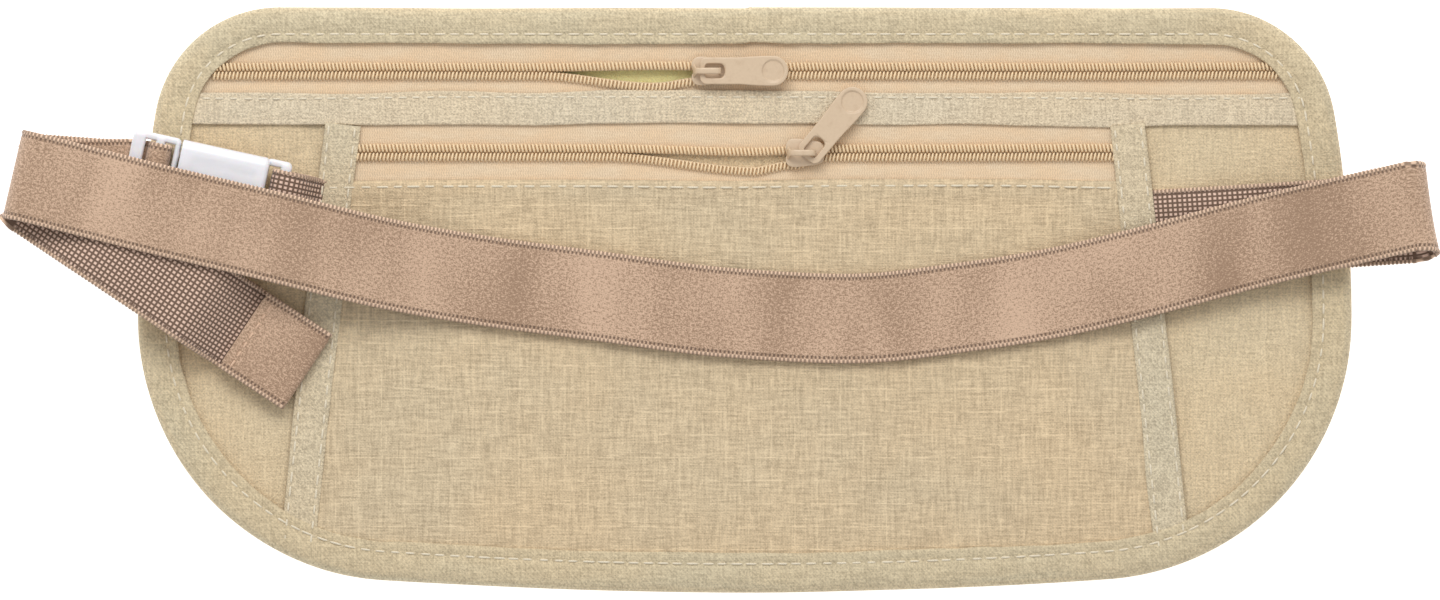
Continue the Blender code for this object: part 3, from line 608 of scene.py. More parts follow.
def webbing_finish(name, belt):
    """Elastic webbing: brushed face, ribbed reverse, and edge cords with a row of small holes.

    along and across are the strip's map; reverse is 1 on the woven side.
    The brushed face carries a painted highlight near 152 mm along and a painted shade near 96 mm along.
    """
    finish = Finish(name, 0.9, Sheen_Weight=0.25, Sheen_Roughness=0.45)
    along, across = finish.mark("along"), finish.mark("across")
    reverse = finish.mark("reverse")
    from_edge = 10.0 - abs(across)
    nap = finish.noise(along * 1.3, across * 1.8, 0.0, 4.0, 0.75)
    curl = finish.noise(along * 3.0, across * 3.0, 3.0, 2.0, 0.6)
    cloud = finish.noise(along * 0.045, across * 0.02, 7.0, 2.0)
    # crown is a painted highlight and slope a painted shade, where the front strand tilts towards and away from
    # the light; brushed holds both with the nap
    crown = (1.0 - abs(along - 152.0) / 34.0).clamped() * 0.24
    slope = (1.0 - abs(along - 96.0) / 24.0).clamped() * 0.5
    brushed = ((nap - 0.5) * 4.2 + (curl - 0.5) * 3.4 + 0.5 + (cloud - 0.5) * 2.2 + crown - slope).clamped()
    face = finish.mix(brushed, shade(belt.face_shade, 0.9), shade(belt.face, 1.25))
    rib = (along.sine(1.12) * 0.5 + 0.5).ramp(0.15, 0.6)
    rung = (across.sine(1.0) * 0.5 + 0.5).ramp(0.15, 0.6)
    knit = rib * rung * (finish.noise(along * 1.1, across * 1.1, 1.0, 2.0) * 0.9 + 0.6)
    woven = finish.mix(knit.clamped(), shade(belt.rib_shade, 0.9), shade(belt.rib, 1.5))
    body = finish.mix(reverse, face, woven)
    tick = (along.sine(belt.picot / MM) * 0.5 + 0.5).ramp(0.35, 0.75)
    cord = 1.0 - from_edge.ramp(0.75, 0.95)
    row = from_edge.ramp(0.8, 1.0) * (1.0 - from_edge.ramp(1.35, 1.7))
    hole = (row * tick * 0.85).clamped()
    tinted = finish.mix((cord * 0.9).clamped(), body, shade(belt.face, 1.6, -0.03))
    notch = (cord * (1.0 - tick) * 0.72).clamped()
    finish.put(
        Base_Color=finish.mix((hole + notch).clamped(), tinted, shade(belt.rib_shade, 0.85)),
        Roughness=0.95 - brushed * 0.1,
    )
    relief = (nap + curl * 0.6) * (1.0 - reverse) + knit * reverse * 2.2 - hole * 2.0 + cord * tick
    finish.bump(relief, 0.5, 0.00035)
    return finish.material


def floor_finish(name, colour):
    """Plain pale table with a very faint mottle."""
    finish = Finish(name, 0.9, Emission_Color=(1.0, 1.0, 1.0, 1.0), Emission_Strength=0.7)
    x, y, z = finish.place()
    mottle = finish.noise(x * 0.02, y * 0.02, z, 2.0)
    finish.put(Base_Color=finish.mix(mottle, shade(colour, 0.995), colour))
    return finish.material


# ---------------------------------------------------------------- pouch


def pouch_rim(step=0.0011):
    """Points anticlockwise round the rim, and the level directions from them into the pouch.

    Each half is four arcs that meet smoothly: top corner, side, bottom corner and bowed bottom. Their normals
    turn from straight up to straight down, and each centre lies on the last normal of the arc before.
    """
    pouch = settings("pouch")
    low, high = node_box("edge_binding")
    middle, half, height = (low[0] + high[0]) / 2, (high[0] - low[0]) / 2, high[1] - low[1]
    lean, bow = pouch.side_lean, pouch.bottom_bow
    bottom = (half - pouch.bottom_corner * (1 - np.sin(bow))) / np.sin(bow)
    drop = pouch.top_corner * (1 - np.cos(lean)) - pouch.bottom_corner * np.cos(bow)
    drop += bottom * (1 + np.cos(bow))
    side = (height - drop) / np.cos(lean)
    flat = half - pouch.top_corner * np.sin(lean) - side * (1 - np.sin(lean))
    radii = [pouch.top_corner, side, pouch.bottom_corner, bottom]
    turns = [0.0, lean, np.pi / 2, bow, np.pi]
    centre, arcs = np.array([flat, high[1] - pouch.top_corner]), [np.array([[0.0, high[1]]])]
    for radius, start, end, following in zip(radii, turns, turns[1:], radii[1:] + [bottom]):
        angle = np.linspace(start, end, 60)
        normal = np.stack([np.sin(angle), np.cos(angle)], 1)
        arcs.append(centre + radius * normal)
        centre = centre + (radius - following) * normal[-1]
    right = np.vstack(arcs)
    loop = np.vstack([right, (right * [-1, 1])[::-1]])[::-1]
    loop = resample(loop, step)[1][:-1] + [middle, 0.0]
    along = unit(np.roll(loop, -1, 0) - np.roll(loop, 1, 0))
    return loop, np.stack([-along[:, 1], along[:, 0]], 1)


def rim_spans(x, inset):
    """Lowest and highest y inside the rim, for each x, after stepping in by inset."""
    loop, inward = pouch_rim()
    loop = loop + inward * inset
    split = sorted([int(np.argmin(loop[:, 0])), int(np.argmax(loop[:, 0]))])
    chains = [loop[split[0] : split[1] + 1], np.vstack([loop[split[1] :], loop[: split[0] + 1]])]
    chains = [chain[np.argsort(chain[:, 0])] for chain in chains]
    chains.sort(key=lambda chain: chain[:, 1].mean())
    return [np.interp(x, chain[:, 0], chain[:, 1]) for chain in chains]


def rim_reach(inset):
    """Lowest and highest x inside the rim after stepping in by inset."""
    loop, inward = pouch_rim()
    loop = loop + inward * inset
    return loop[:, 0].min(), loop[:, 0].max()


def plate(name, top, bottom, material, keep=None, wrap=False):
    """Closed mesh of two matching grids: both faces, and walls along every open edge between them."""
    rows, columns = top.shape[:2]
    quads, r, c = grid_quads(rows, columns, False, wrap)
    if keep is not None:
        quads = quads[keep[r, c]]
    count = rows * columns
    edges = np.stack([quads, np.roll(quads, -1, 1)], -1).reshape(-1, 2)
    rim = edges[~np.isin(edges[:, 0] * count + edges[:, 1], edges[:, 1] * count + edges[:, 0])]
    walls = np.stack([rim[:, 1], rim[:, 0], rim[:, 0] + count, rim[:, 1] + count], 1)
    faces = np.vstack([quads, quads[:, ::-1] + count, walls])
    used, faces = np.unique(faces, return_inverse=True)
    points = np.vstack([top.reshape(-1, 3), bottom.reshape(-1, 3)])[used]
    return finish_mesh(name, points, faces.reshape(-1, 4).tolist(), material)


def cloth(name, points, material, node, area=None):
    thickness = np.array([0.0, 0.0, settings("pouch").cloth])
    obj = plate(name, points, points - thickness, material)
    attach(obj, "pouch")
    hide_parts(node)
    return obj


TAPE_TOP = 0.0386
TAPE_DROP = 0.0986
TAPE_ENDS = {"left": (-0.084, -0.0945), "right": (0.0906, 0.101)}


def tape_centre(side, y):
    """x of a side tape's centre line at height y in plan; both lean outward towards the bottom."""
    top, bottom = TAPE_ENDS[side]
    return top + (bottom - top) * (TAPE_TOP - y) / TAPE_DROP


def fade_at_rim(x, y, reach):
    """0 at the rim and 1 from reach inside it."""
    loop, _ = pouch_rim(0.004)
    distance = np.full(x.shape, 1.0)
    for px, py in loop:
        distance = np.minimum(distance, np.hypot(x - px, y - py))
    return smoothstep(distance, 0.007, 0.007 + reach)


def make_binding(material, thread):
    """The folded strip: a U-shaped section carried round the rim, with a groove under its stitches."""
    loop, inward = pouch_rim()
    section = [
        (8.55, 4.02, 1, 1), (8.68, 4.18, 1, 1), (8.52, 4.40, 1, 1), (8.0, 4.49, 1, 1), (7.3, 4.50, 0.6, 1),
        (6.75, 4.40, 0.3, 1), (6.35, 4.22, 0, 1), (5.95, 4.38, 0, 1), (5.2, 4.55, 0, 1), (4.0, 4.62, 0, 1),
        (2.7, 4.56, 0, 1), (1.5, 4.30, 0, 0.8), (0.65, 3.82, 0, 0.5), (0.15, 3.1, 0, 0.2), (0.0, 2.3, 0, 0),
        (0.15, 1.4, 0, 0), (0.6, 0.7, 0, 0), (1.4, 0.24, 0, 0), (2.6, 0.05, 0, 0), (4.5, 0.0, 0, 0),
        (6.4, 0.06, 0, 0), (8.1, 0.0, 1, 0), (8.52, 0.14, 1, 0), (8.6, 0.38, 1, 0), (8.3, 0.54, 1, 0),
        (6.0, 0.58, 0, 0), (3.0, 0.7, 0, 0), (1.4, 1.1, 0, 0), (0.78, 1.8, 0, 0), (0.62, 2.3, 0, 0),
        (0.78, 2.9, 0, 0), (1.4, 3.5, 0, 0), (3.0, 3.85, 0, 0), (6.0, 3.88, 0, 0), (8.2, 3.9, 1, 0),
    ]
    section = np.array(section)
    along = path_length(np.vstack([loop, loop[:1]]))[:-1]
    turning = np.linalg.norm(np.roll(inward, -2, 0) - np.roll(inward, 2, 0), axis=1)
    turning /= 4 * (along[1] - along[0])
    corner = smoothstep(turning, 10.0, 40.0)
    narrow = 1 - 0.07 * smoothstep(loop[:, 1], 0.04, 0.06)[:, None]
    sway = (wander(along, 0.017, 3) * 0.28 + wander(along, 0.005, 4) * 0.12)[:, None]
    step_in = section[:, 0] * narrow * MM + section[:, 2] * sway * MM
    lift = wander(along, 0.0033, 5) * 0.07 + wander(along, 0.012, 6) * 0.1
    lift += corner * wander(along, 0.006, 7) * 0.22
    rise = section[:, 1] * MM + section[:, 3] * lift[:, None] * MM
    edge = wander(along, 0.03, 8)[:, None] * 0.15 * MM
    plan = loop[:, None] + inward[:, None] * (step_in + edge)[..., None]
    points = np.concatenate([plan, rise[..., None]], -1)
    obj = surface("edge_binding_cloth", points, material, wrap=(True, True))
    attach(obj, "pouch")
    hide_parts("edge_binding")
    seam = np.concatenate([loop + inward * 6.35 * narrow * MM, np.full((len(loop), 1), 4.28 * MM)], 1)
    seam = np.vstack([seam, seam[:1]])
    stitches("binding_stitches", seam, thread, 0.0033, 0.0027)
    under = seam * [1, 1, 0] + [0, 0, 0.05 * MM]
    stitches("binding_stitches_under", under, thread, 0.0033, 0.0024, -0.00012)


def make_back(material):
    """Back panel: one layer of lining inside the binding."""
    left, right = rim_reach(PANEL_INSET)
    x = np.linspace(left, right, 200)
    low, high = rim_spans(x, PANEL_INSET)
    share = np.linspace(0, 1, 90)[:, None]
    y = low + (high - low) * share
    x = np.broadcast_to(x, y.shape)
    fade = fade_at_rim(x, y, 0.02)
    z = 1.15 * MM - fade * (0.18 + 0.14 * ripple(x, y, 0.05, 21) + 0.05 * ripple(x, y, 0.012, 22)) * MM
    z = z + 0.75 * MM * fade * smoothstep(y, 0.0452, 0.0475) * (1 - smoothstep(y, 0.0545, 0.057))
    obj = cloth("back_panel_cloth", np.stack([x, y, z], -1), material, "back_panel", area=0.0272)


def make_front(material):
    """Full front panel: it shows beside the pocket and lies under the pocket and the band."""
    left, right = rim_reach(PANEL_INSET)
    x = np.linspace(left, right, 210)
    low, high = rim_spans(x, PANEL_INSET)
    high = np.minimum(high, 0.0454)
    share = np.linspace(0, 1, 84)[:, None]
    y = low + (high - low) * share
    x = np.broadcast_to(x, y.shape)
    fade = fade_at_rim(x, y, 0.012)
    wing = smoothstep(np.abs(x - 3.0 * MM), 0.083, 0.090)
    slack = fade * (0.22 * ripple(x, y, 0.03, 31) + 0.08 * ripple(x, y, 0.01, 32))
    z = (1.8 + wing * (1.15 + slack) + 0.45 * (1 - wing) * smoothstep(y, 0.025, 0.03)) * MM
    obj = cloth("front_panel_cloth", np.stack([x, y, z], -1), material, "main_front_panel", area=0.0242)


def make_pocket(material, thread):
    """Front pocket of ripstop: hemmed along the lower zip, held by the side tapes and the binding."""
    top = node_box("front_pocket_panel")[1][1]
    columns, rows = 190, 86
    share = np.linspace(0, 1, columns)
    ends = [tape_centre(side, -0.055) for side in ("left", "right")]
    low, _ = rim_spans(ends[0] + (ends[1] - ends[0]) * share, PANEL_INSET)
    y = low + (top - low) * (np.linspace(0, 1, rows) ** 0.92)[:, None]
    x = tape_centre("left", y) + (tape_centre("right", y) - tape_centre("left", y)) * share
    fade = fade_at_rim(x, y, 0.014)
    from_side = 0.5 - np.abs(share - 0.5)
    sides = smoothstep(from_side, 0.02, 0.10)
    pucker = (1 - smoothstep(from_side, 0.0, 0.2)) * np.sin(6.283 * y / 0.011 + 3 * share) * 0.12
    hem = 0.22 * smoothstep(y, top - 0.0042, top - 0.0034) - 0.35 * smoothstep(y, top - 0.0009, top)
    slack = sides * 0.28 * ripple(x, y, 0.045, 41) + 0.07 * ripple(x, y, 0.013, 42) + pucker * 0.8
    z = 3.8 + fade * slack + hem
    y = y + smoothstep(y, top - 0.02, top) * wander(x, 0.03, 43) * 0.35 * MM
    obj = cloth("pocket_cloth", np.stack([x, y, z * MM], -1), material, "front_pocket_panel", area=0.0158)
    line = np.linspace(ends[0] + 0.006, ends[1] - 0.006, 400)
    path = np.stack([line, top - 1.5 * MM + wander(line, 0.03, 43) * 0.35 * MM, np.full(400, 4.02 * MM)], 1)
    stitches("pocket_hem_stitches", path, thread, 0.0036, 0.0031)


def ribbon(name, path, width, rise, material, node, seed, wobble=0.25, rounded=0.42):
    """Flat folded strip along a path: crowned between its edges, which turn under and wander a little."""
    along, path = resample(path, 0.0009)
    direction = unit(np.gradient(path, axis=0))
    side = np.stack([-direction[:, 1], direction[:, 0]], 1)
    share = np.array([-1, -0.985, -0.94, -0.86, -0.74, -0.6, -0.3, 0, 0.3, 0.6, 0.74, 0.86, 0.94, 0.985, 1])
    drop = np.array([rounded, 0.2, 0.05, 0.0, 0.1, 0.03, 0.0, 0.0, 0.0, 0.03, 0.1, 0.0, 0.05, 0.2, rounded])
    edges = np.stack([wander(along, 0.016, seed), wander(along, 0.02, seed + 1)], 1) * wobble * MM
    lean = np.where(share < 0, edges[:, :1], edges[:, 1:]) * np.abs(share)
    plan = path[:, None] + side[:, None] * (share * width / 2 + lean)[..., None]
    wave = wander(along, 0.014, seed + 2)[:, None] * 0.09 + wander(along, 0.004, seed + 3)[:, None] * 0.04
    top = (rise + (wave - drop) * MM)[..., None]
    under = np.full(top.shape, rise - 0.42 * MM)
    body = np.concatenate([plan, top], -1)
    base = np.concatenate([plan, np.minimum(under, top - 0.05 * MM)], -1)
    obj = plate(name, body, base, material)
    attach(obj, "pouch")
    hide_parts(node)
    return path, side


def seam_row(name, path, side, offset, rise, thread, pitch=0.0033, dash=0.0025):
    """Running stitches beside a path, at a fixed height."""
    plan = path + side * offset
    stitches(name, np.concatenate([plan, np.full((len(plan), 1), rise)], 1), thread, pitch, dash)


def make_tapes(material, thread):
    """The two strips over the pocket's side seams."""
    for number, side in enumerate(("left", "right")):
        low, high = node_box(side + "_side_tape")
        y = np.linspace(high[1] + 0.0004, low[1] - 0.0045, 80)
        path = np.stack([tape_centre(side, y), y], 1)
        name = side + "_side_tape"
        made, seed = name + "_cloth", 50 + number * 5
        path, across = ribbon(made, path, 0.008, 4.35 * MM, material, name, seed)
        for row, offset in (("outer", -0.0029), ("inner", 0.0029)):
            seam_row(f"{name}_stitches_{row}", path, across, offset, 4.25 * MM, thread)


def make_band(material, thread):
    """Strip between the zips, with a row of stitches along its upper edge."""
    low, high = node_box("mid_band")
    left, right = low[0] + 0.003, high[0] - 0.003
    x = np.linspace(left, right, 200)
    path = np.stack([x, np.full(200, (low[1] + high[1]) / 2) + wander(x, 0.05, 61) * 0.3 * MM], 1)
    width = high[1] - low[1]
    path, across = ribbon(
        "mid_band_cloth", path, width, 4.02 * MM, material, "mid_band", 62, 0.4
    )
    seam_row("band_stitches", path, across, width / 2 - 1.2 * MM, 3.94 * MM, thread, 0.0031, 0.0022)


class POUCH_OT_make(bpy.types.Operator):
    """Makes the pouch's cloth: lining, front, pocket, band, side tapes and binding, with their stitches"""

    bl_idname = "money_belt.pouch"
    bl_label = "Pouch"

    def execute(self, context):
        pouch = settings("pouch")
        thread = thread_finish("cream_thread", pouch.thread)
        binding = cloth_finish("binding_twill", pouch.binding_fabric, twill=0.7, slub=0.8, fleck=0.9)
        make_back(cloth_finish("lining_cloth", pouch.lining_fabric, slub=0.3, fleck=0.3))
        make_front(cloth_finish("wing_cloth", pouch.wing_fabric, slub=0.7, fleck=0.9))
        make_pocket(cloth_finish("ripstop", pouch.pocket_fabric, grid=0.7, slub=1.0, fleck=0.6), thread)
        make_band(cloth_finish("band_cloth", pouch.band_fabric, slub=0.8, fleck=1.2), thread)
        make_tapes(cloth_finish("side_tape_twill", pouch.tape_fabric, twill=0.6, slub=0.7, fleck=1.2), thread)
        make_binding(binding, thread)
        return {"FINISHED"}


# ---------------------------------------------------------------- zips


def lens(x, start, widest, slider):
    """How far the chain gapes: from 0 at start to 1 at widest, then less into the slider, and 0 past it."""
    rising = smoothstep(x, start, widest)
    narrowing = 1 - 0.45 * smoothstep(x, slider - 0.012, slider - 0.003)
    return rising * narrowing * (1 - smoothstep(x, slider - 0.002, slider + 0.003))


COIL_OFFSET = 0.98 * MM
ZIP_REACH = 4.5 * MM


def chain_line(prefix, side, x):
    """y of one coil's centre line: side is 1 for the upper coil and -1 for the lower."""
    zips = settings("zip")
    low, high = node_box(f"{prefix}_zip_coil_bottom")[0], node_box(f"{prefix}_zip_coil_top")[1]
    centre = (low[1] + high[1]) / 2
    slider_low, slider_high = node_box(f"{prefix}_slider_body")
    slider = (slider_low[0] + slider_high[0]) / 2
    if prefix == "upper":
        gape = lens(x, slider - 0.038, slider - 0.013, slider)
        shift = {1: 0.1, -1: 1.0}[side] * zips.upper_gape
    else:
        gape = lens(x, slider - 0.044, slider - 0.010, slider)
        shift = {1: -0.3, -1: 1.3}[side] * zips.lower_gape
    sway = wander(x, 0.04, 71 if prefix == "upper" else 72) * 0.18 * MM
    return centre + sway + side * (COIL_OFFSET + shift * gape)


def make_coil(prefix, part, side, material):
    """Coil of one side, a wire wound flat.

    At angle t: x = pitch * t / 2 pi, y = width * cos t, z = height * 1.45 sin t, cut at the height.
    """
    zips = settings("zip")
    name = f"{prefix}_zip_coil_{part}"
    low, high = node_box(name)
    low[0], high[0] = low[0] - ZIP_REACH, high[0] + ZIP_REACH
    steps, sides = 10, 5
    turns = (high[0] - low[0]) / zips.pitch
    count = int(turns * steps) + 1
    angle = np.arange(count) * 2 * np.pi / steps + (0.0 if side > 0 else np.pi)
    x = low[0] + np.arange(count) / steps * zips.pitch
    y = chain_line(prefix, side, x) + side * zips.coil_width * np.cos(angle)
    z = 3.58 * MM + zips.coil_height * np.clip(1.45 * np.sin(angle), -1, 1)
    path = np.stack([x, y, z], 1)
    direction = unit(np.gradient(path, axis=0))
    side_ways = unit(np.cross(direction, np.array([1.0, 0.0, 0.0]) + 0 * direction))
    up = np.cross(side_ways, direction)
    around = np.radians(np.arange(sides) * 360.0 / sides)
    ring = side_ways[:, None] * np.cos(around)[None, :, None] + up[:, None] * np.sin(around)[None, :, None]
    obj = surface(name + "_wound", path[:, None] + ring * zips.wire, material, capped=True)
    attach(obj, "pouch")
    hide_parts(name)


def make_tape(prefix, part, side, material):
    """Tape of one side: from under its coil to under the cloth beside it, turned down along the coil."""
    name = f"{prefix}_zip_tape_{part}"
    low, high = node_box(name)
    reach = ZIP_REACH if prefix == "upper" else 0.0
    x = np.linspace(low[0] - reach, high[0] + reach, int((high[0] - low[0]) / 0.0010))
    inner = chain_line(prefix, side, x) - side * 0.96 * MM
    outer = np.full(len(x), high[1] if side > 0 else low[1])
    if name == "upper_zip_tape_top":
        outer = np.minimum(rim_spans(x, PANEL_INSET)[1], outer)
    share = np.array([0, 0.04, 0.1, 0.2, 0.3, 0.42, 0.55, 0.7, 0.85, 1.0])
    y = inner[:, None] + (outer - inner)[:, None] * share
    away = np.abs(y - inner[:, None])
    sway = wander(x, 0.02, 80 + len(name))[:, None]
    z = 2.88 + 0.3 * smoothstep(away, 0.0012, 0.003) + 0.07 * sway
    points = np.stack([np.broadcast_to(x[:, None], y.shape), y, z * MM], -1)
    cloth(name + "_woven", points, material, name)


def placed(points, origin, turn=0.0, dip=0.0):
    """Points in millimetres about a piece's own origin, dipped about Y, turned about Z, then moved."""
    points = np.asarray(points, float) * MM
    t, d = np.radians(turn), np.radians(dip)
    x = points[..., 0] * np.cos(d) + points[..., 2] * np.sin(d)
    z = -points[..., 0] * np.sin(d) + points[..., 2] * np.cos(d)
    y = points[..., 1]
    turned = [x * np.cos(t) - y * np.sin(t), x * np.sin(t) + y * np.cos(t), z]
    return np.stack(turned, -1) + np.asarray(origin)


def domed(name, outline, low, high, edge, crown, material, place):
    """Plate with rounded rims and a crown: past the rim each ring shrinks towards the middle and rises."""
    middle = outline.mean(0)
    rings = rim_rings(outline, low, high, edge)
    top, base = rings[-1][:, :2], rings[0][:, :2]
    shares = (0.15, 0.35, 0.6, 0.85, 1.0)
    for share in shares:
        plan = top + (middle - top) * share
        rings.append(np.column_stack([plan, np.full(len(plan), high + crown * (1 - (1 - share) ** 2))]))
    for share in shares:
        plan = base + (middle - base) * share
        rings.insert(0, np.column_stack([plan, np.full(len(plan), low)]))
    return surface(name, place(np.stack(rings)), material)


def slider_plan():
    """Closed plan of a slider plate: two lobes at the nose, flanks drawn in towards a round tail."""
    upper = [
        (-3.75, 0.0), (-4.2, 0.75), (-4.3, 1.6), (-4.0, 2.5), (-3.2, 3.1), (-1.8, 3.2),
        (0.0, 3.0), (1.8, 2.75), (3.3, 2.45), (4.05, 1.75), (4.3, 0.8), (4.3, 0.0),
    ]
    lower = [(x, -y) for x, y in reversed(upper[1:-1])]
    loop = np.array(upper + lower)[::-1]
    tripled = smooth_route(np.vstack([loop, loop, loop[:1]]), 3)
    count = len(loop) * 3
    return tripled[count // 2 + count % 2 : count // 2 + count % 2 + count]


def make_slider(prefix, material):
    """Slider: domed roof with side flanges, floor, divider, and the tongue that stands over the roof."""
    low, high = node_box(f"{prefix}_slider_body")
    origin = np.array([(low[0] + high[0]) / 2, (low[1] + high[1]) / 2, 0.0])
    spot = lambda points: placed(points, origin)
    plan = slider_plan()
    roof = domed(f"{prefix}_slider_cast", plan, 4.42, 5.0, 0.26, 0.2, material, spot)
    floor = domed(f"{prefix}_slider_floor", plan * 0.98, 1.98, 2.4, 0.15, 0.0, material, spot)
    post = arc((-3.1, 0.0), 0.55, 0, 360, 12)[:-1] * [1.0, 0.9] + [0.3, 0.0]
    divider = domed(f"{prefix}_slider_divider", post, 2.3, 4.6, 0.1, 0.0, material, spot)
    flanges, sideways = [], np.array([[0.0, 1.0, 0.0]])
    flank = smooth_route([(-2.9, 2.82), (-1.5, 2.86), (0.2, 2.72), (1.9, 2.46), (3.1, 2.2)], 4)
    profile = rounded_profile(0.5, 0.7, 0.16, 2) * MM
    for sign in (-1, 1):
        path = np.column_stack([flank * [1, sign], np.full(len(flank), 4.2)])
        side = np.broadcast_to(sideways, path.shape)
        flanges.append(swept(f"{prefix}_slider_flange", spot(path), side, profile, material))
    body = joined(f"{prefix}_slider_body_cast", [roof, floor, divider, *flanges])
    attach(body, f"{prefix}_slider")
    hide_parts(f"{prefix}_slider_body")

    line = [
        (-3.75, 5.0), (-3.6, 5.6), (-3.3, 6.7), (-2.6, 7.45), (-1.4, 7.72),
        (0.2, 7.74), (1.4, 7.5), (1.95, 6.9), (2.0, 6.0), (1.95, 4.95),
    ]
    route = smooth_route(line, 5)
    path = np.column_stack([route[:, 0], np.zeros(len(route)), route[:, 1]])
    along = np.linspace(0, 1, len(path))
    width = 1.35 + 1.5 * (1 - smoothstep(along, 0.0, 0.3)) + 0.35 * smoothstep(along, 0.75, 1.0)
    profile = rounded_profile(1.0, 0.62, 0.2, 2)
    direction = unit(np.gradient(path, axis=0))
    up = np.cross(sideways, direction)
    points = path[:, None] + sideways[:, None] * (width[:, None] * profile[None, :, 0])[..., None]
    points = points + up[:, None] * profile[None, :, 1:2]
    tongue = surface(f"{prefix}_slider_tongue", spot(points), material, capped=True)
    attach(tongue, f"{prefix}_slider")
    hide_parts(f"{prefix}_slider_bridge")


def make_puller(prefix, turn, dip, material):
    """Pull tab: a flat plate with an eye and a round recess, its edges rounded by distance.

    Across, the first half of the columns reach from the middle to the eye's edge, the rest to the rim.
    """
    joint = next(j for j in frame["joints"] if j["name"] == f"{prefix}_pull_hinge")
    tip, cap_centre, cap_radius = 19.05, 15.7, 3.35
    spans = [(-0.55, 0.55, 8), (0.55, 4.95, 30), (4.95, 12.9, 32), (12.9, tip, 46)]
    u = [np.linspace(*span) for span in spans]
    u = np.unique(np.concatenate([*u, tip - np.array([0.02, 0.06, 0.12])]))
    v = np.array([0, 0.15, 0.3, 0.4, 0.46, 0.5, 0.53, 0.57, 0.62, 0.68, 0.75, 0.82, 0.88, 0.93, 0.97, 1.0])
    v = np.concatenate([-v[:0:-1], v])
    rim = 3.0 + 0.35 * smoothstep(u, 2.0, 14.5) - 0.15 * hump(u, 8.5, 3.0)
    rim = rim - 1.6 + np.sqrt(np.clip(1.6**2 - np.clip(1.05 - u, 0, 1.6) ** 2, 0, None))
    rim = np.where(u > cap_centre, np.sqrt(np.clip(cap_radius**2 - (u - cap_centre) ** 2, 0, None)), rim)
    inside = (u > 0.549) & (u < 4.951)
    start = 0.5 - np.sqrt(np.clip(0.25 - np.clip(1.05 - u, 0, 0.5) ** 2, 0, None))
    end = 1.2 - np.sqrt(np.clip(1.44 - np.clip(u - 3.75, 0, 1.2) ** 2, 0, None))
    eye = np.where(inside, 1.6 - start - end, rim / 2)
    size = np.abs(v)
    beyond = eye[:, None] + (size - 0.5) / 0.5 * (rim - eye)[:, None]
    y = np.where(size <= 0.5, size / 0.5 * eye[:, None], beyond) * np.sign(v)
    x = np.broadcast_to(u[:, None], y.shape)
    cap = np.where(x > cap_centre, cap_radius - np.hypot(x - cap_centre, y), rim[:, None] - np.abs(y))
    outer = np.minimum(cap, x + 0.55)
    q = np.stack([np.abs(x - 2.75) - 1.3, np.abs(y) - 0.7])
    hole = np.hypot(*np.maximum(q, 0)) + np.minimum(q.max(0), 0) - 0.9
    near = np.clip(np.minimum(outer, hole) / 0.24, 0, 1)
    top = 0.375 - 0.24 * (1 - np.sqrt(np.clip(1 - (1 - near) ** 2, 0, 1)))
    dish = smoothstep(2.55 - np.hypot(x - cap_centre, y), 0.0, 0.25)
    face = np.stack([x, y, top - 0.34 * dish], -1)
    back = np.stack([x, y, -top], -1)
    row, column = inside[:-1] & inside[1:], (size[:-1] <= 0.5) & (size[1:] <= 0.5)
    keep = ~(row[:, None] & column[None, :])
    face, back = (placed(points, joint["pos_m"], turn, dip) for points in (face, back))
    obj = plate(f"{prefix}_pull_tab", face, back, material, keep)
    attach(obj, f"{prefix}_pull")
    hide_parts(f"{prefix}_puller")


PULL_ANGLES = {"upper": (0.0, 0.0), "lower": (50.0, 0.84)}


class ZIPS_OT_make(bpy.types.Operator):
    """Makes both coil zips: tapes, wound coils, sliders and pull tabs"""

    bl_idname = "money_belt.zips"
    bl_label = "Zips"

    def execute(self, context):
        zips = settings("zip")
        tape = tape_finish("zip_tape_weave", zips.tape)
        coil = coil_finish("zip_coil_nylon", zips.coil)
        paint = paint_finish("slider_satin_paint", zips.paint)
        for prefix, (turn, dip) in PULL_ANGLES.items():
            for part, side in (("top", 1), ("bottom", -1)):
                make_tape(prefix, part, side, tape)
                make_coil(prefix, part, side, coil)
            make_slider(prefix, paint)
            make_puller(prefix, turn, dip, paint)
        return {"FINISHED"}


# ---------------------------------------------------------------- belt

FRONT_ROUTE = [
    (153.65, 20.8), (121.3, 13.3), (96.9, 6.9), (73.8, 1.6), (53.3, -1.8), (30.0, -4.2),
    (1.1, -2.7), (-26.7, 0.9), (-53.3, 4.4), (-75.0, 8.2), (-100.0, 14.2), (-152.0, 26.9),
]
BUCKLE_CENTRE = (-113.9, 22.25, 9.0)
RETURN_ACROSS = -4.6
TAIL_TURN = -21.2
TAIL_FOLD = (-37.4, -6.6)
TAIL_LENGTH = 71.0
HEM_START = 55.0
HEM_SEAM = 57.3


def buckle_points(u, v, z):
    """Points u along the buckle, v across it and z above the table, in millimetres."""
    turn = settings("buckle").turn
    u, v, z = np.broadcast_arrays(np.asarray(u, float), v, z)
    x = BUCKLE_CENTRE[0] + u * np.cos(turn) - v * np.sin(turn)
    y = BUCKLE_CENTRE[1] + u * np.sin(turn) + v * np.cos(turn)
    return np.stack([x, y, z], -1)


def tail_points(length, v, z):
    """Points along the belt's last strand: length from its fold beside the plug, v across it, z up."""
    swing = np.radians(TAIL_TURN)
    u = TAIL_FOLD[0] + length * np.cos(swing) - v * np.sin(swing)
    return buckle_points(u, TAIL_FOLD[1] + length * np.sin(swing) + v * np.cos(swing), z)


def buckle_across(turn=0.0):
    """Level direction across the buckle, or across a strand turned away from it by so many degrees."""
    angle = settings("buckle").turn + np.radians(turn)
    return np.array([-np.sin(angle), np.cos(angle), 0.0])


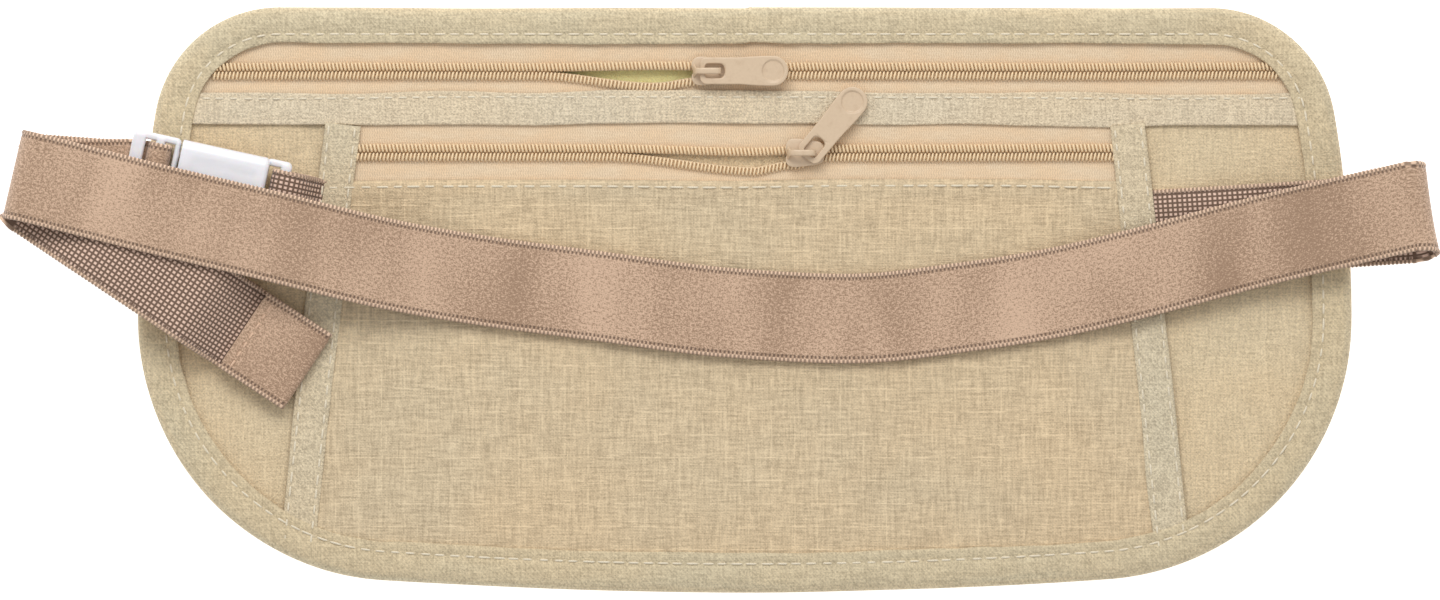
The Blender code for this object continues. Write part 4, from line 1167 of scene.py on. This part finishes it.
def turn_over(start, end, outward, side, end_side, steps=14):
    """Half turn between two strands: height follows a cosine and the bulge outward a sine."""
    angle = np.linspace(0, np.pi, steps + 1)[:, None]
    start, end = np.asarray(start, float), np.asarray(end, float)
    plan = start + (end - start) * angle / np.pi
    plan[:, 2:] = (start[2] + end[2]) / 2 + (start[2] - end[2]) / 2 * np.cos(angle)
    share = smoothstep(angle, 0, np.pi)
    sides = side * (1 - share) + end_side * share
    return plan + outward * (0.3 + abs(end[2] - start[2]) / 2 * np.sin(angle)), sides


def belt_route():
    """The whole belt in millimetres, from under the right side tape to its hemmed end, with its sides."""
    parts = []
    level = lambda points, side: (np.asarray(points, float), np.broadcast_to(side, (len(points), 3)))
    x = np.array([93.6, 96.0, 98.5, 101.0, 104.0, 108.0, 115.0, 125.0, 140.0, 153.9])
    slope = np.array([153.9 - 97.0, 18.1 - 14.4])
    across = unit(np.array([-slope[1], slope[0], 0.0]))
    height = 3.05 + 2.25 * smoothstep(x, 98.0, 112.0)
    anchor = np.stack([x, 14.4 + (x - 97.0) * slope[1] / slope[0], height], 1)
    parts.append(level(anchor, across))

    plan = smooth_route(FRONT_ROUTE, 8)
    along = unit(np.gradient(plan, axis=0))
    sides = np.stack([along[:, 1], -along[:, 0], 0 * along[:, 0]], 1)
    px = plan[:, 0]
    height = 5.4 + 1.5 * smoothstep(px, 72, 92) + 5.6 * smoothstep(px, 112, 153.65)
    height += 8.9 * smoothstep(-px, 52, 94)
    front = np.column_stack([plan, height])
    outward = np.array([sides[0][1], -sides[0][0], 0.0])
    parts.append(turn_over(anchor[-1], front[0], outward, across, sides[0]))
    parts.append((front, sides))

    axis = settings("buckle").turn
    outward = np.array([-np.cos(axis), -np.sin(axis), 0.0])
    end = front[-1]
    fold = np.array([end[0], end[1], 5.3])
    parts.append(turn_over(end, fold, outward, sides[-1], buckle_across()))
    turns = (
        ((-12.5, 7.3), 2.0, -90, 0, 6), ((-12.7, 9.35), 2.2, 0, 180, 14), ((-16.9, 8.75), 2.0, 0, -90, 6),
    )
    wrap = np.vstack([arc(*turn) for turn in turns])
    parts.append(level(np.linspace(fold, buckle_points(-12.8, 0, 5.3), 8), buckle_across()))
    parts.append(level(buckle_points(wrap[:, 0], 0, wrap[:, 1]), buckle_across()))
    fold_start = buckle_points(TAIL_FOLD[0], RETURN_ACROSS, 6.75)
    tail = np.linspace(buckle_points(-17.2, 0, 6.75), fold_start, 8)
    parts.append(level(tail, buckle_across()))
    upper = buckle_points(*TAIL_FOLD, 8.25)
    parts.append(turn_over(tail[-1], upper, outward, buckle_across(), buckle_across(TAIL_TURN)))
    length = np.linspace(0.0, TAIL_LENGTH, 50)
    rise = 8.25 + 4.75 * smoothstep(length, 0, 19) - 7.5 * smoothstep(length, 42, HEM_START)
    parts.append(level(tail_points(length, 0.0, rise), buckle_across(TAIL_TURN)))
    angle = np.radians(np.linspace(-70, 70, 8))
    hem = np.column_stack([TAIL_LENGTH + 0.7 * np.cos(angle), 6.18 + 0.68 * np.sin(angle)])
    hem = np.vstack([hem, [(length, 6.86) for length in (70.0, 66.0, 62.0, 58.0, HEM_START)]])
    parts.append(level(tail_points(hem[:, 0], 0.0, hem[:, 1]), buckle_across(TAIL_TURN)))
    return np.vstack([p for p, _ in parts]), np.vstack([s for _, s in parts])


def webbing(name, route, sides, material, nodes, waves=0.0, seed=90):
    """Elastic along a route: each row is the strip's section, with a cord and small loops along both edges.

    A section point is at a across and h off the middle; at the edges both swell by a cosine of one picot.
    """
    belt = settings("webbing")
    along, path, side = resample(route * MM, belt.step, sides)
    path = soften(path, 4)
    side = unit(soften(side, 10))
    direction = unit(np.gradient(path, axis=0))
    side = unit(side - direction * np.sum(side * direction, 1, keepdims=True))
    up = np.cross(side, direction)
    half = belt.width / 2 / MM
    across = np.array([0, 2.5, 5.0, 7.0, 8.2, 8.6, 8.85, 9.1, 9.4, 9.7, 9.92])
    height = np.array([0.46, 0.46, 0.46, 0.46, 0.46, 0.44, 0.33, 0.42, 0.5, 0.44, 0.24])
    scale = half / 10.0
    right = np.column_stack([across, height])
    top = np.vstack([right[:0:-1] * [-1, 1], right])
    section = np.vstack([top, top[::-1] * [1, -1]]) * [scale, 1.0]
    edge = smoothstep(np.abs(section[:, 0]), 9.0, 9.6)
    bead = np.cos(2 * np.pi * along / belt.picot + np.where(section[:, :1] > 0, 0.0, 1.3)).T * 0.5 + 0.5
    a = section[:, 0] + np.sign(section[:, 0]) * edge * (bead * 0.22 - 0.08)
    h = section[:, 1] * (1 + edge * (bead * 0.35 - 0.2))
    flutter = waves * (wander(along, 0.021, seed) * 0.3 + wander(along, 0.009, seed + 1) * 0.12)[:, None]
    sway = (wander(along, 0.03, seed + 2) * 0.12)[:, None]
    a, h = (a + sway) * MM, (h + flutter) * MM
    points = path[:, None] + side[:, None] * a[..., None] + up[:, None] * h[..., None]
    marks = {"reverse": section[:, 1] < 0, "across": section[:, 0], "along": along[:, None] / MM}
    marks = {mark: np.broadcast_to(values, a.shape) for mark, values in marks.items()}
    obj = surface(name, points, material, capped=True, marks=marks)
    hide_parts(*nodes)
    return obj, float(along[-1])


class BELT_OT_make(bpy.types.Operator):
    """Makes the elastic belt, folded through the buckle and hemmed, and the short tab at the socket"""

    bl_idname = "money_belt.webbing"
    bl_label = "Belt"

    def execute(self, context):
        belt = settings("webbing")
        material = webbing_finish("elastic_webbing", belt)
        thread = thread_finish("belt_thread", shade(belt.face, 1.45))
        nodes = (
            "anchor", "right_bend", "front_right", "front_left", "left_bend", "return",
            "bar_wrap", "tail", "tail_fold", "tail_end", "hem",
        )
        nodes = ["belt_" + node for node in nodes]
        obj, length = webbing("elastic_belt", *belt_route(), material, nodes, 0.7)
        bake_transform(obj)

        below = [(26.5, 2.4), (23.8, 2.5), (21.5, 3.6), (19.0, 5.6)]
        above = [(18.0, 11.2), (20.2, 9.3), (22.2, 6.0), (24.0, 4.0), (26.5, 3.5)]
        profile = smooth_route(np.vstack([below, arc((15.75, 9.0), 2.45, -75, -262, 14), above]), 4)
        tab = buckle_points(profile[:, 0], 0, profile[:, 1])
        across = np.broadcast_to(buckle_across(), tab.shape)
        short, length = webbing("elastic_tab", tab, across, material, ["belt_tab"])
        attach(short, "pouch")

        line = tail_points(HEM_SEAM, np.linspace(-1, 1, 40) * 8.6, 7.36) * MM
        stitches("hem_stitches_inner", line, thread, 0.0024, 0.0019, body="buckle_plug")
        return {"FINISHED"}


# ---------------------------------------------------------------- buckle


def coordinates(marks, step):
    """Sorted values that hit every mark, closely spaced on both sides of each, and step apart between."""
    near = np.add.outer(marks, [-0.35, -0.15, -0.05, 0.0, 0.05, 0.15, 0.35]).reshape(-1)
    spans = [np.linspace(a, b, max(int((b - a) / step), 1) + 1) for a, b in zip(marks, marks[1:])]
    values = np.unique(np.round(np.concatenate([near, *spans]), 4))
    return values[(values >= marks[0]) & (values <= marks[-1])]


def rounding(distance, radius):
    """Drop of a rounded edge: radius - sqrt(radius^2 - (radius - distance)^2) inside the radius."""
    near = np.clip(distance / radius, 0, 1)
    return radius * (1 - np.sqrt(np.clip(1 - (1 - near) ** 2, 0, 1)))


def bars(name, marks, slots, half_width, half_height, corner, material, rail=1.6):
    """Flat frame with slots across it: a grid rounded by its distance from the rim and from every slot."""
    u = coordinates(marks, 0.5)
    v = coordinates([-half_width, rail - half_width, half_width - rail, half_width], 0.8)
    x, y = np.meshgrid(u, v, indexing="ij")
    cx = np.clip(x, marks[0] + corner, marks[-1] - corner)
    cy = np.clip(y, corner - half_width, half_width - corner)
    reach = np.maximum(np.hypot(x - cx, y - cy), 1e-9)
    pull = np.where(reach > corner, corner / reach, 1.0)
    x2, y2 = cx + (x - cx) * pull, cy + (y - cy) * pull
    inner = np.hypot(x2 - cx, y2 - cy)
    flat = np.minimum(np.minimum(x2 - marks[0], marks[-1] - x2), half_width - np.abs(y2))
    distance = np.where(inner > 0, corner - inner, flat)
    keep = np.ones((len(u) - 1, len(v) - 1), bool)
    mid_u, mid_v = (u[1:] + u[:-1]) / 2, (v[1:] + v[:-1]) / 2
    for low, high in slots:
        q = np.stack([np.abs(x2 - (low + high) / 2) - (high - low) / 2, np.abs(y2) - (half_width - rail)])
        distance = np.minimum(distance, np.hypot(*np.maximum(q, 0)) + np.minimum(q.max(0), 0))
        between = (mid_u > low) & (mid_u < high)
        keep &= ~between[:, None] | (np.abs(mid_v) > half_width - rail)[None, :]
    z = half_height - rounding(distance, 0.7)
    top = buckle_points(x2, y2, BUCKLE_CENTRE[2] + z) * MM
    base = buckle_points(x2, y2, BUCKLE_CENTRE[2] - z) * MM
    return plate(name, top, base, material, keep)


def make_socket(material):
    """Socket: a rounded box with a wall, side windows, a shallow panel on top and a closed end."""
    shape = settings("buckle")
    half_w, half_t, wall = shape.width / 2 / MM, shape.shell_height / 2 / MM, 1.2
    close_up = 12.0 - np.array([1.2, 0.9, 0.6, 0.3, 0.12])
    u = np.unique(np.concatenate([coordinates([-7.8, -1.0, 7.0, 12.0], 0.6), close_up]))
    shrink = 1.1 * (1 - np.sqrt(np.clip(1 - np.clip((u - 10.9) / 1.1, 0, 1) ** 2, 0, 1)))
    lip = 0.25 * (1 - np.sqrt(np.clip(1 - np.clip((-7.4 - u) / 0.4, 0, 1) ** 2, 0, 1)))
    inset = shrink + lip
    u = np.concatenate([u, np.full(5, 12.0)])
    inset = np.concatenate([inset, inset[-1] + np.array([0.4, 0.9, 1.4, 1.9, 2.09])])
    corner = 2.2
    flat_v = coordinates([corner - half_w, 0, half_w - corner], 0.9)
    flat_z = np.linspace(corner - half_t, half_t - corner, 8)
    turns = np.radians(np.linspace(0, 90, 7))[1:-1]
    quarter = [(half_w - corner + corner * np.cos(a), half_t - corner + corner * np.sin(a)) for a in turns]
    half = [(half_w, z) for z in flat_z] + quarter + [(v, half_t) for v in flat_v[::-1]]
    half += [(-v, z) for v, z in reversed(quarter)]
    loop = np.array(half + [(-v, -z) for v, z in half])
    centre = np.clip(loop, [corner - half_w, corner - half_t], [half_w - corner, half_t - corner])
    out = loop - centre
    length = np.linalg.norm(out, axis=1, keepdims=True)
    out = np.where(length > 1e-6, out / np.maximum(length, 1e-6), 0.0)
    v = loop[None, :, 0] - out[None, :, 0] * inset[:, None]
    z = loop[None, :, 1] - out[None, :, 1] * inset[:, None]
    panel = smoothstep(8.6 - np.abs(v), 0, 0.7) * smoothstep(u[:, None], -5.6, -4.9)
    panel = panel * smoothstep(9.6 - u[:, None], 0, 0.7)
    z_out = np.where(z > 2.5, z - 0.3 * panel, z)
    depth = np.minimum(inset + wall, half_t - 0.12)
    inner_v = loop[None, :, 0] - out[None, :, 0] * depth[:, None]
    inner_z = loop[None, :, 1] - out[None, :, 1] * depth[:, None]
    inner_u = np.minimum(u, 10.6)
    mid_u = (u[1:] + u[:-1]) / 2
    side = (np.abs(loop[:, 0]) > half_w - 0.01) & (np.abs(np.roll(loop[:, 0], -1)) > half_w - 0.01)
    keep = ~(((mid_u > -1.0) & (mid_u < 7.0))[:, None] & side[None, :])
    outer = buckle_points(u[:, None], v, BUCKLE_CENTRE[2] + z_out) * MM
    inner = buckle_points(inner_u[:, None], inner_v, BUCKLE_CENTRE[2] + inner_z) * MM
    return plate("buckle_socket_box", outer, inner, material, keep, wrap=True)


class BUCKLE_OT_make(bpy.types.Operator):
    """Makes the side-release buckle: socket with its tab bar, plug with its belt bars, and two sprung arms"""

    bl_idname = "money_belt.buckle"
    bl_label = "Buckle"

    def execute(self, context):
        shape = settings("buckle")
        plastic = plastic_finish("white_moulded_plastic", shape.plastic)
        half_w, slim = shape.width / 2 / MM, shape.bar_height / 2 / MM
        box_part = make_socket(plastic)
        loop = bars("socket_tab_bar", [11.2, 12.0, 14.5, 17.0], [(12.0, 14.5)], half_w, slim, 1.2, plastic)
        socket = joined("buckle_socket", [box_part, loop])
        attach(socket, "pouch")
        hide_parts("buckle_socket_shell")

        marks = [-19.0, -16.0, -13.8, -11.6, -9.4, -8.1]
        ladder = bars("plug_ladder", marks, [(-16.0, -13.8), (-11.6, -9.4)], half_w, slim, 1.2, plastic)
        place = lambda p: buckle_points(p[..., 0], p[..., 1], p[..., 2] + BUCKLE_CENTRE[2]) * MM
        tongue = [(-9.0, -3.0), (5.8, -3.0), (6.7, -2.4), (7.0, -1.2)]
        tongue = np.array(tongue + [(u, -v) for u, v in reversed(tongue)])
        guide = slab("plug_guide", tongue, -1.1, 1.1, 0.3, plastic, place)
        plug = joined("buckle_plug_cast", [ladder, guide])
        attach(plug, "buckle_plug")
        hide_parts("buckle_plug_frame")

        outline = [
            (-7.8, 7.0), (-2.0, 7.0), (4.4, 7.0), (5.6, 7.9), (6.4, 9.0), (6.1, 10.2), (5.4, 11.0), (4.0, 11.6),
            (1.0, 11.65), (-0.6, 11.6), (-0.6, 10.6), (-0.75, 9.3), (-1.2, 9.0), (-4.0, 9.0), (-7.8, 9.0),
        ]
        outline = np.array(outline)
        for name, sign in (("upper", 1), ("lower", -1)):
            plan = outline if sign > 0 else (outline * [1, -1])[::-1]
            arm = slab(f"buckle_arm_{name}_cast", plan, -1.6, 1.6, 0.3, plastic, place)
            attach(arm, f"{name}_arm")
            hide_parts(f"buckle_arm_{name}")
        return {"FINISHED"}


# ---------------------------------------------------------------- stage


class STAGE_OT_make(bpy.types.Operator):
    """Makes the pale table, the camera above it and the soft light"""

    bl_idname = "money_belt.stage"
    bl_label = "Stage"

    def execute(self, context):
        stage = settings("stage")
        scene = context.scene
        square = [[(-4.0, -4.0), (4.0, -4.0)], [(-4.0, 4.0), (4.0, 4.0)]]
        faces = [np.insert(np.array(square), 2, z, axis=-1) for z in (-0.0004, -0.02)]
        floor = plate("table_top", *faces, floor_finish("pale_table", stage.floor))

        camera = bpy.data.objects.new("camera", bpy.data.cameras.new("camera"))
        scene.collection.objects.link(camera)
        height = 4.5 * MM
        camera.location = (0.0, 0.0, height + stage.distance)
        camera.data.sensor_fit = "HORIZONTAL"
        sensor = 36.0
        camera.data.sensor_width = sensor
        camera.data.lens = sensor * stage.distance / stage.view_width
        camera.data.clip_end = 20.0
        scene.camera = camera

        key = bpy.data.objects.new("key_light", bpy.data.lights.new("key_light", "AREA"))
        scene.collection.objects.link(key)
        key.data.energy = stage.key_power
        key.data.shape = "RECTANGLE"
        key.data.size, key.data.size_y = 1.0, 0.5
        key.location = (-0.15, 0.75, 0.85)
        key.rotation_euler = (np.radians(-41.0), 0.0, np.radians(-8.0))

        world = bpy.data.worlds.new("soft_surroundings")
        scene.world = world
        world.use_nodes = True
        world.node_tree.nodes["Background"].inputs["Color"].default_value = (1.0, 1.0, 1.0, 1.0)
        world.node_tree.nodes["Background"].inputs["Strength"].default_value = stage.fill_power
        scene.view_settings.view_transform = "Standard"
        return {"FINISHED"}


OPERATORS = (STAGE_OT_make, POUCH_OT_make, ZIPS_OT_make, BELT_OT_make, BUCKLE_OT_make)


class MONEYBELT_PT_panel(bpy.types.Panel):
    """Lists the pieces' settings and the buttons that make them"""

    bl_idname = "MONEYBELT_PT_panel"
    bl_label = "Money Belt"
    bl_space_type = "VIEW_3D"
    bl_region_type = "UI"
    bl_category = "Money Belt"

    def draw(self, context):
        groups = ("belt_stage", "belt_pouch", "belt_zip", "belt_webbing", "belt_buckle")
        for operator, name in zip(OPERATORS, groups):
            box = self.layout.box()
            for label in SETTINGS[name].__annotations__:
                box.prop(getattr(context.scene, name), label)
            box.operator(operator.bl_idname)


CLASSES = (*SETTINGS.values(), *OPERATORS, MONEYBELT_PT_panel)


def register():
    for item in CLASSES:
        bpy.utils.register_class(item)
    for name, group in SETTINGS.items():
        setattr(bpy.types.Scene, name, bpy.props.PointerProperty(type=group))


def unregister():
    for name in SETTINGS:
        delattr(bpy.types.Scene, name)
    for item in reversed(CLASSES):
        bpy.utils.unregister_class(item)


def main():
    register()
    for operator in OPERATORS:
        group, name = operator.bl_idname.split(".")
        getattr(getattr(bpy.ops, group), name)()


if __name__ == "__main__":
    main()
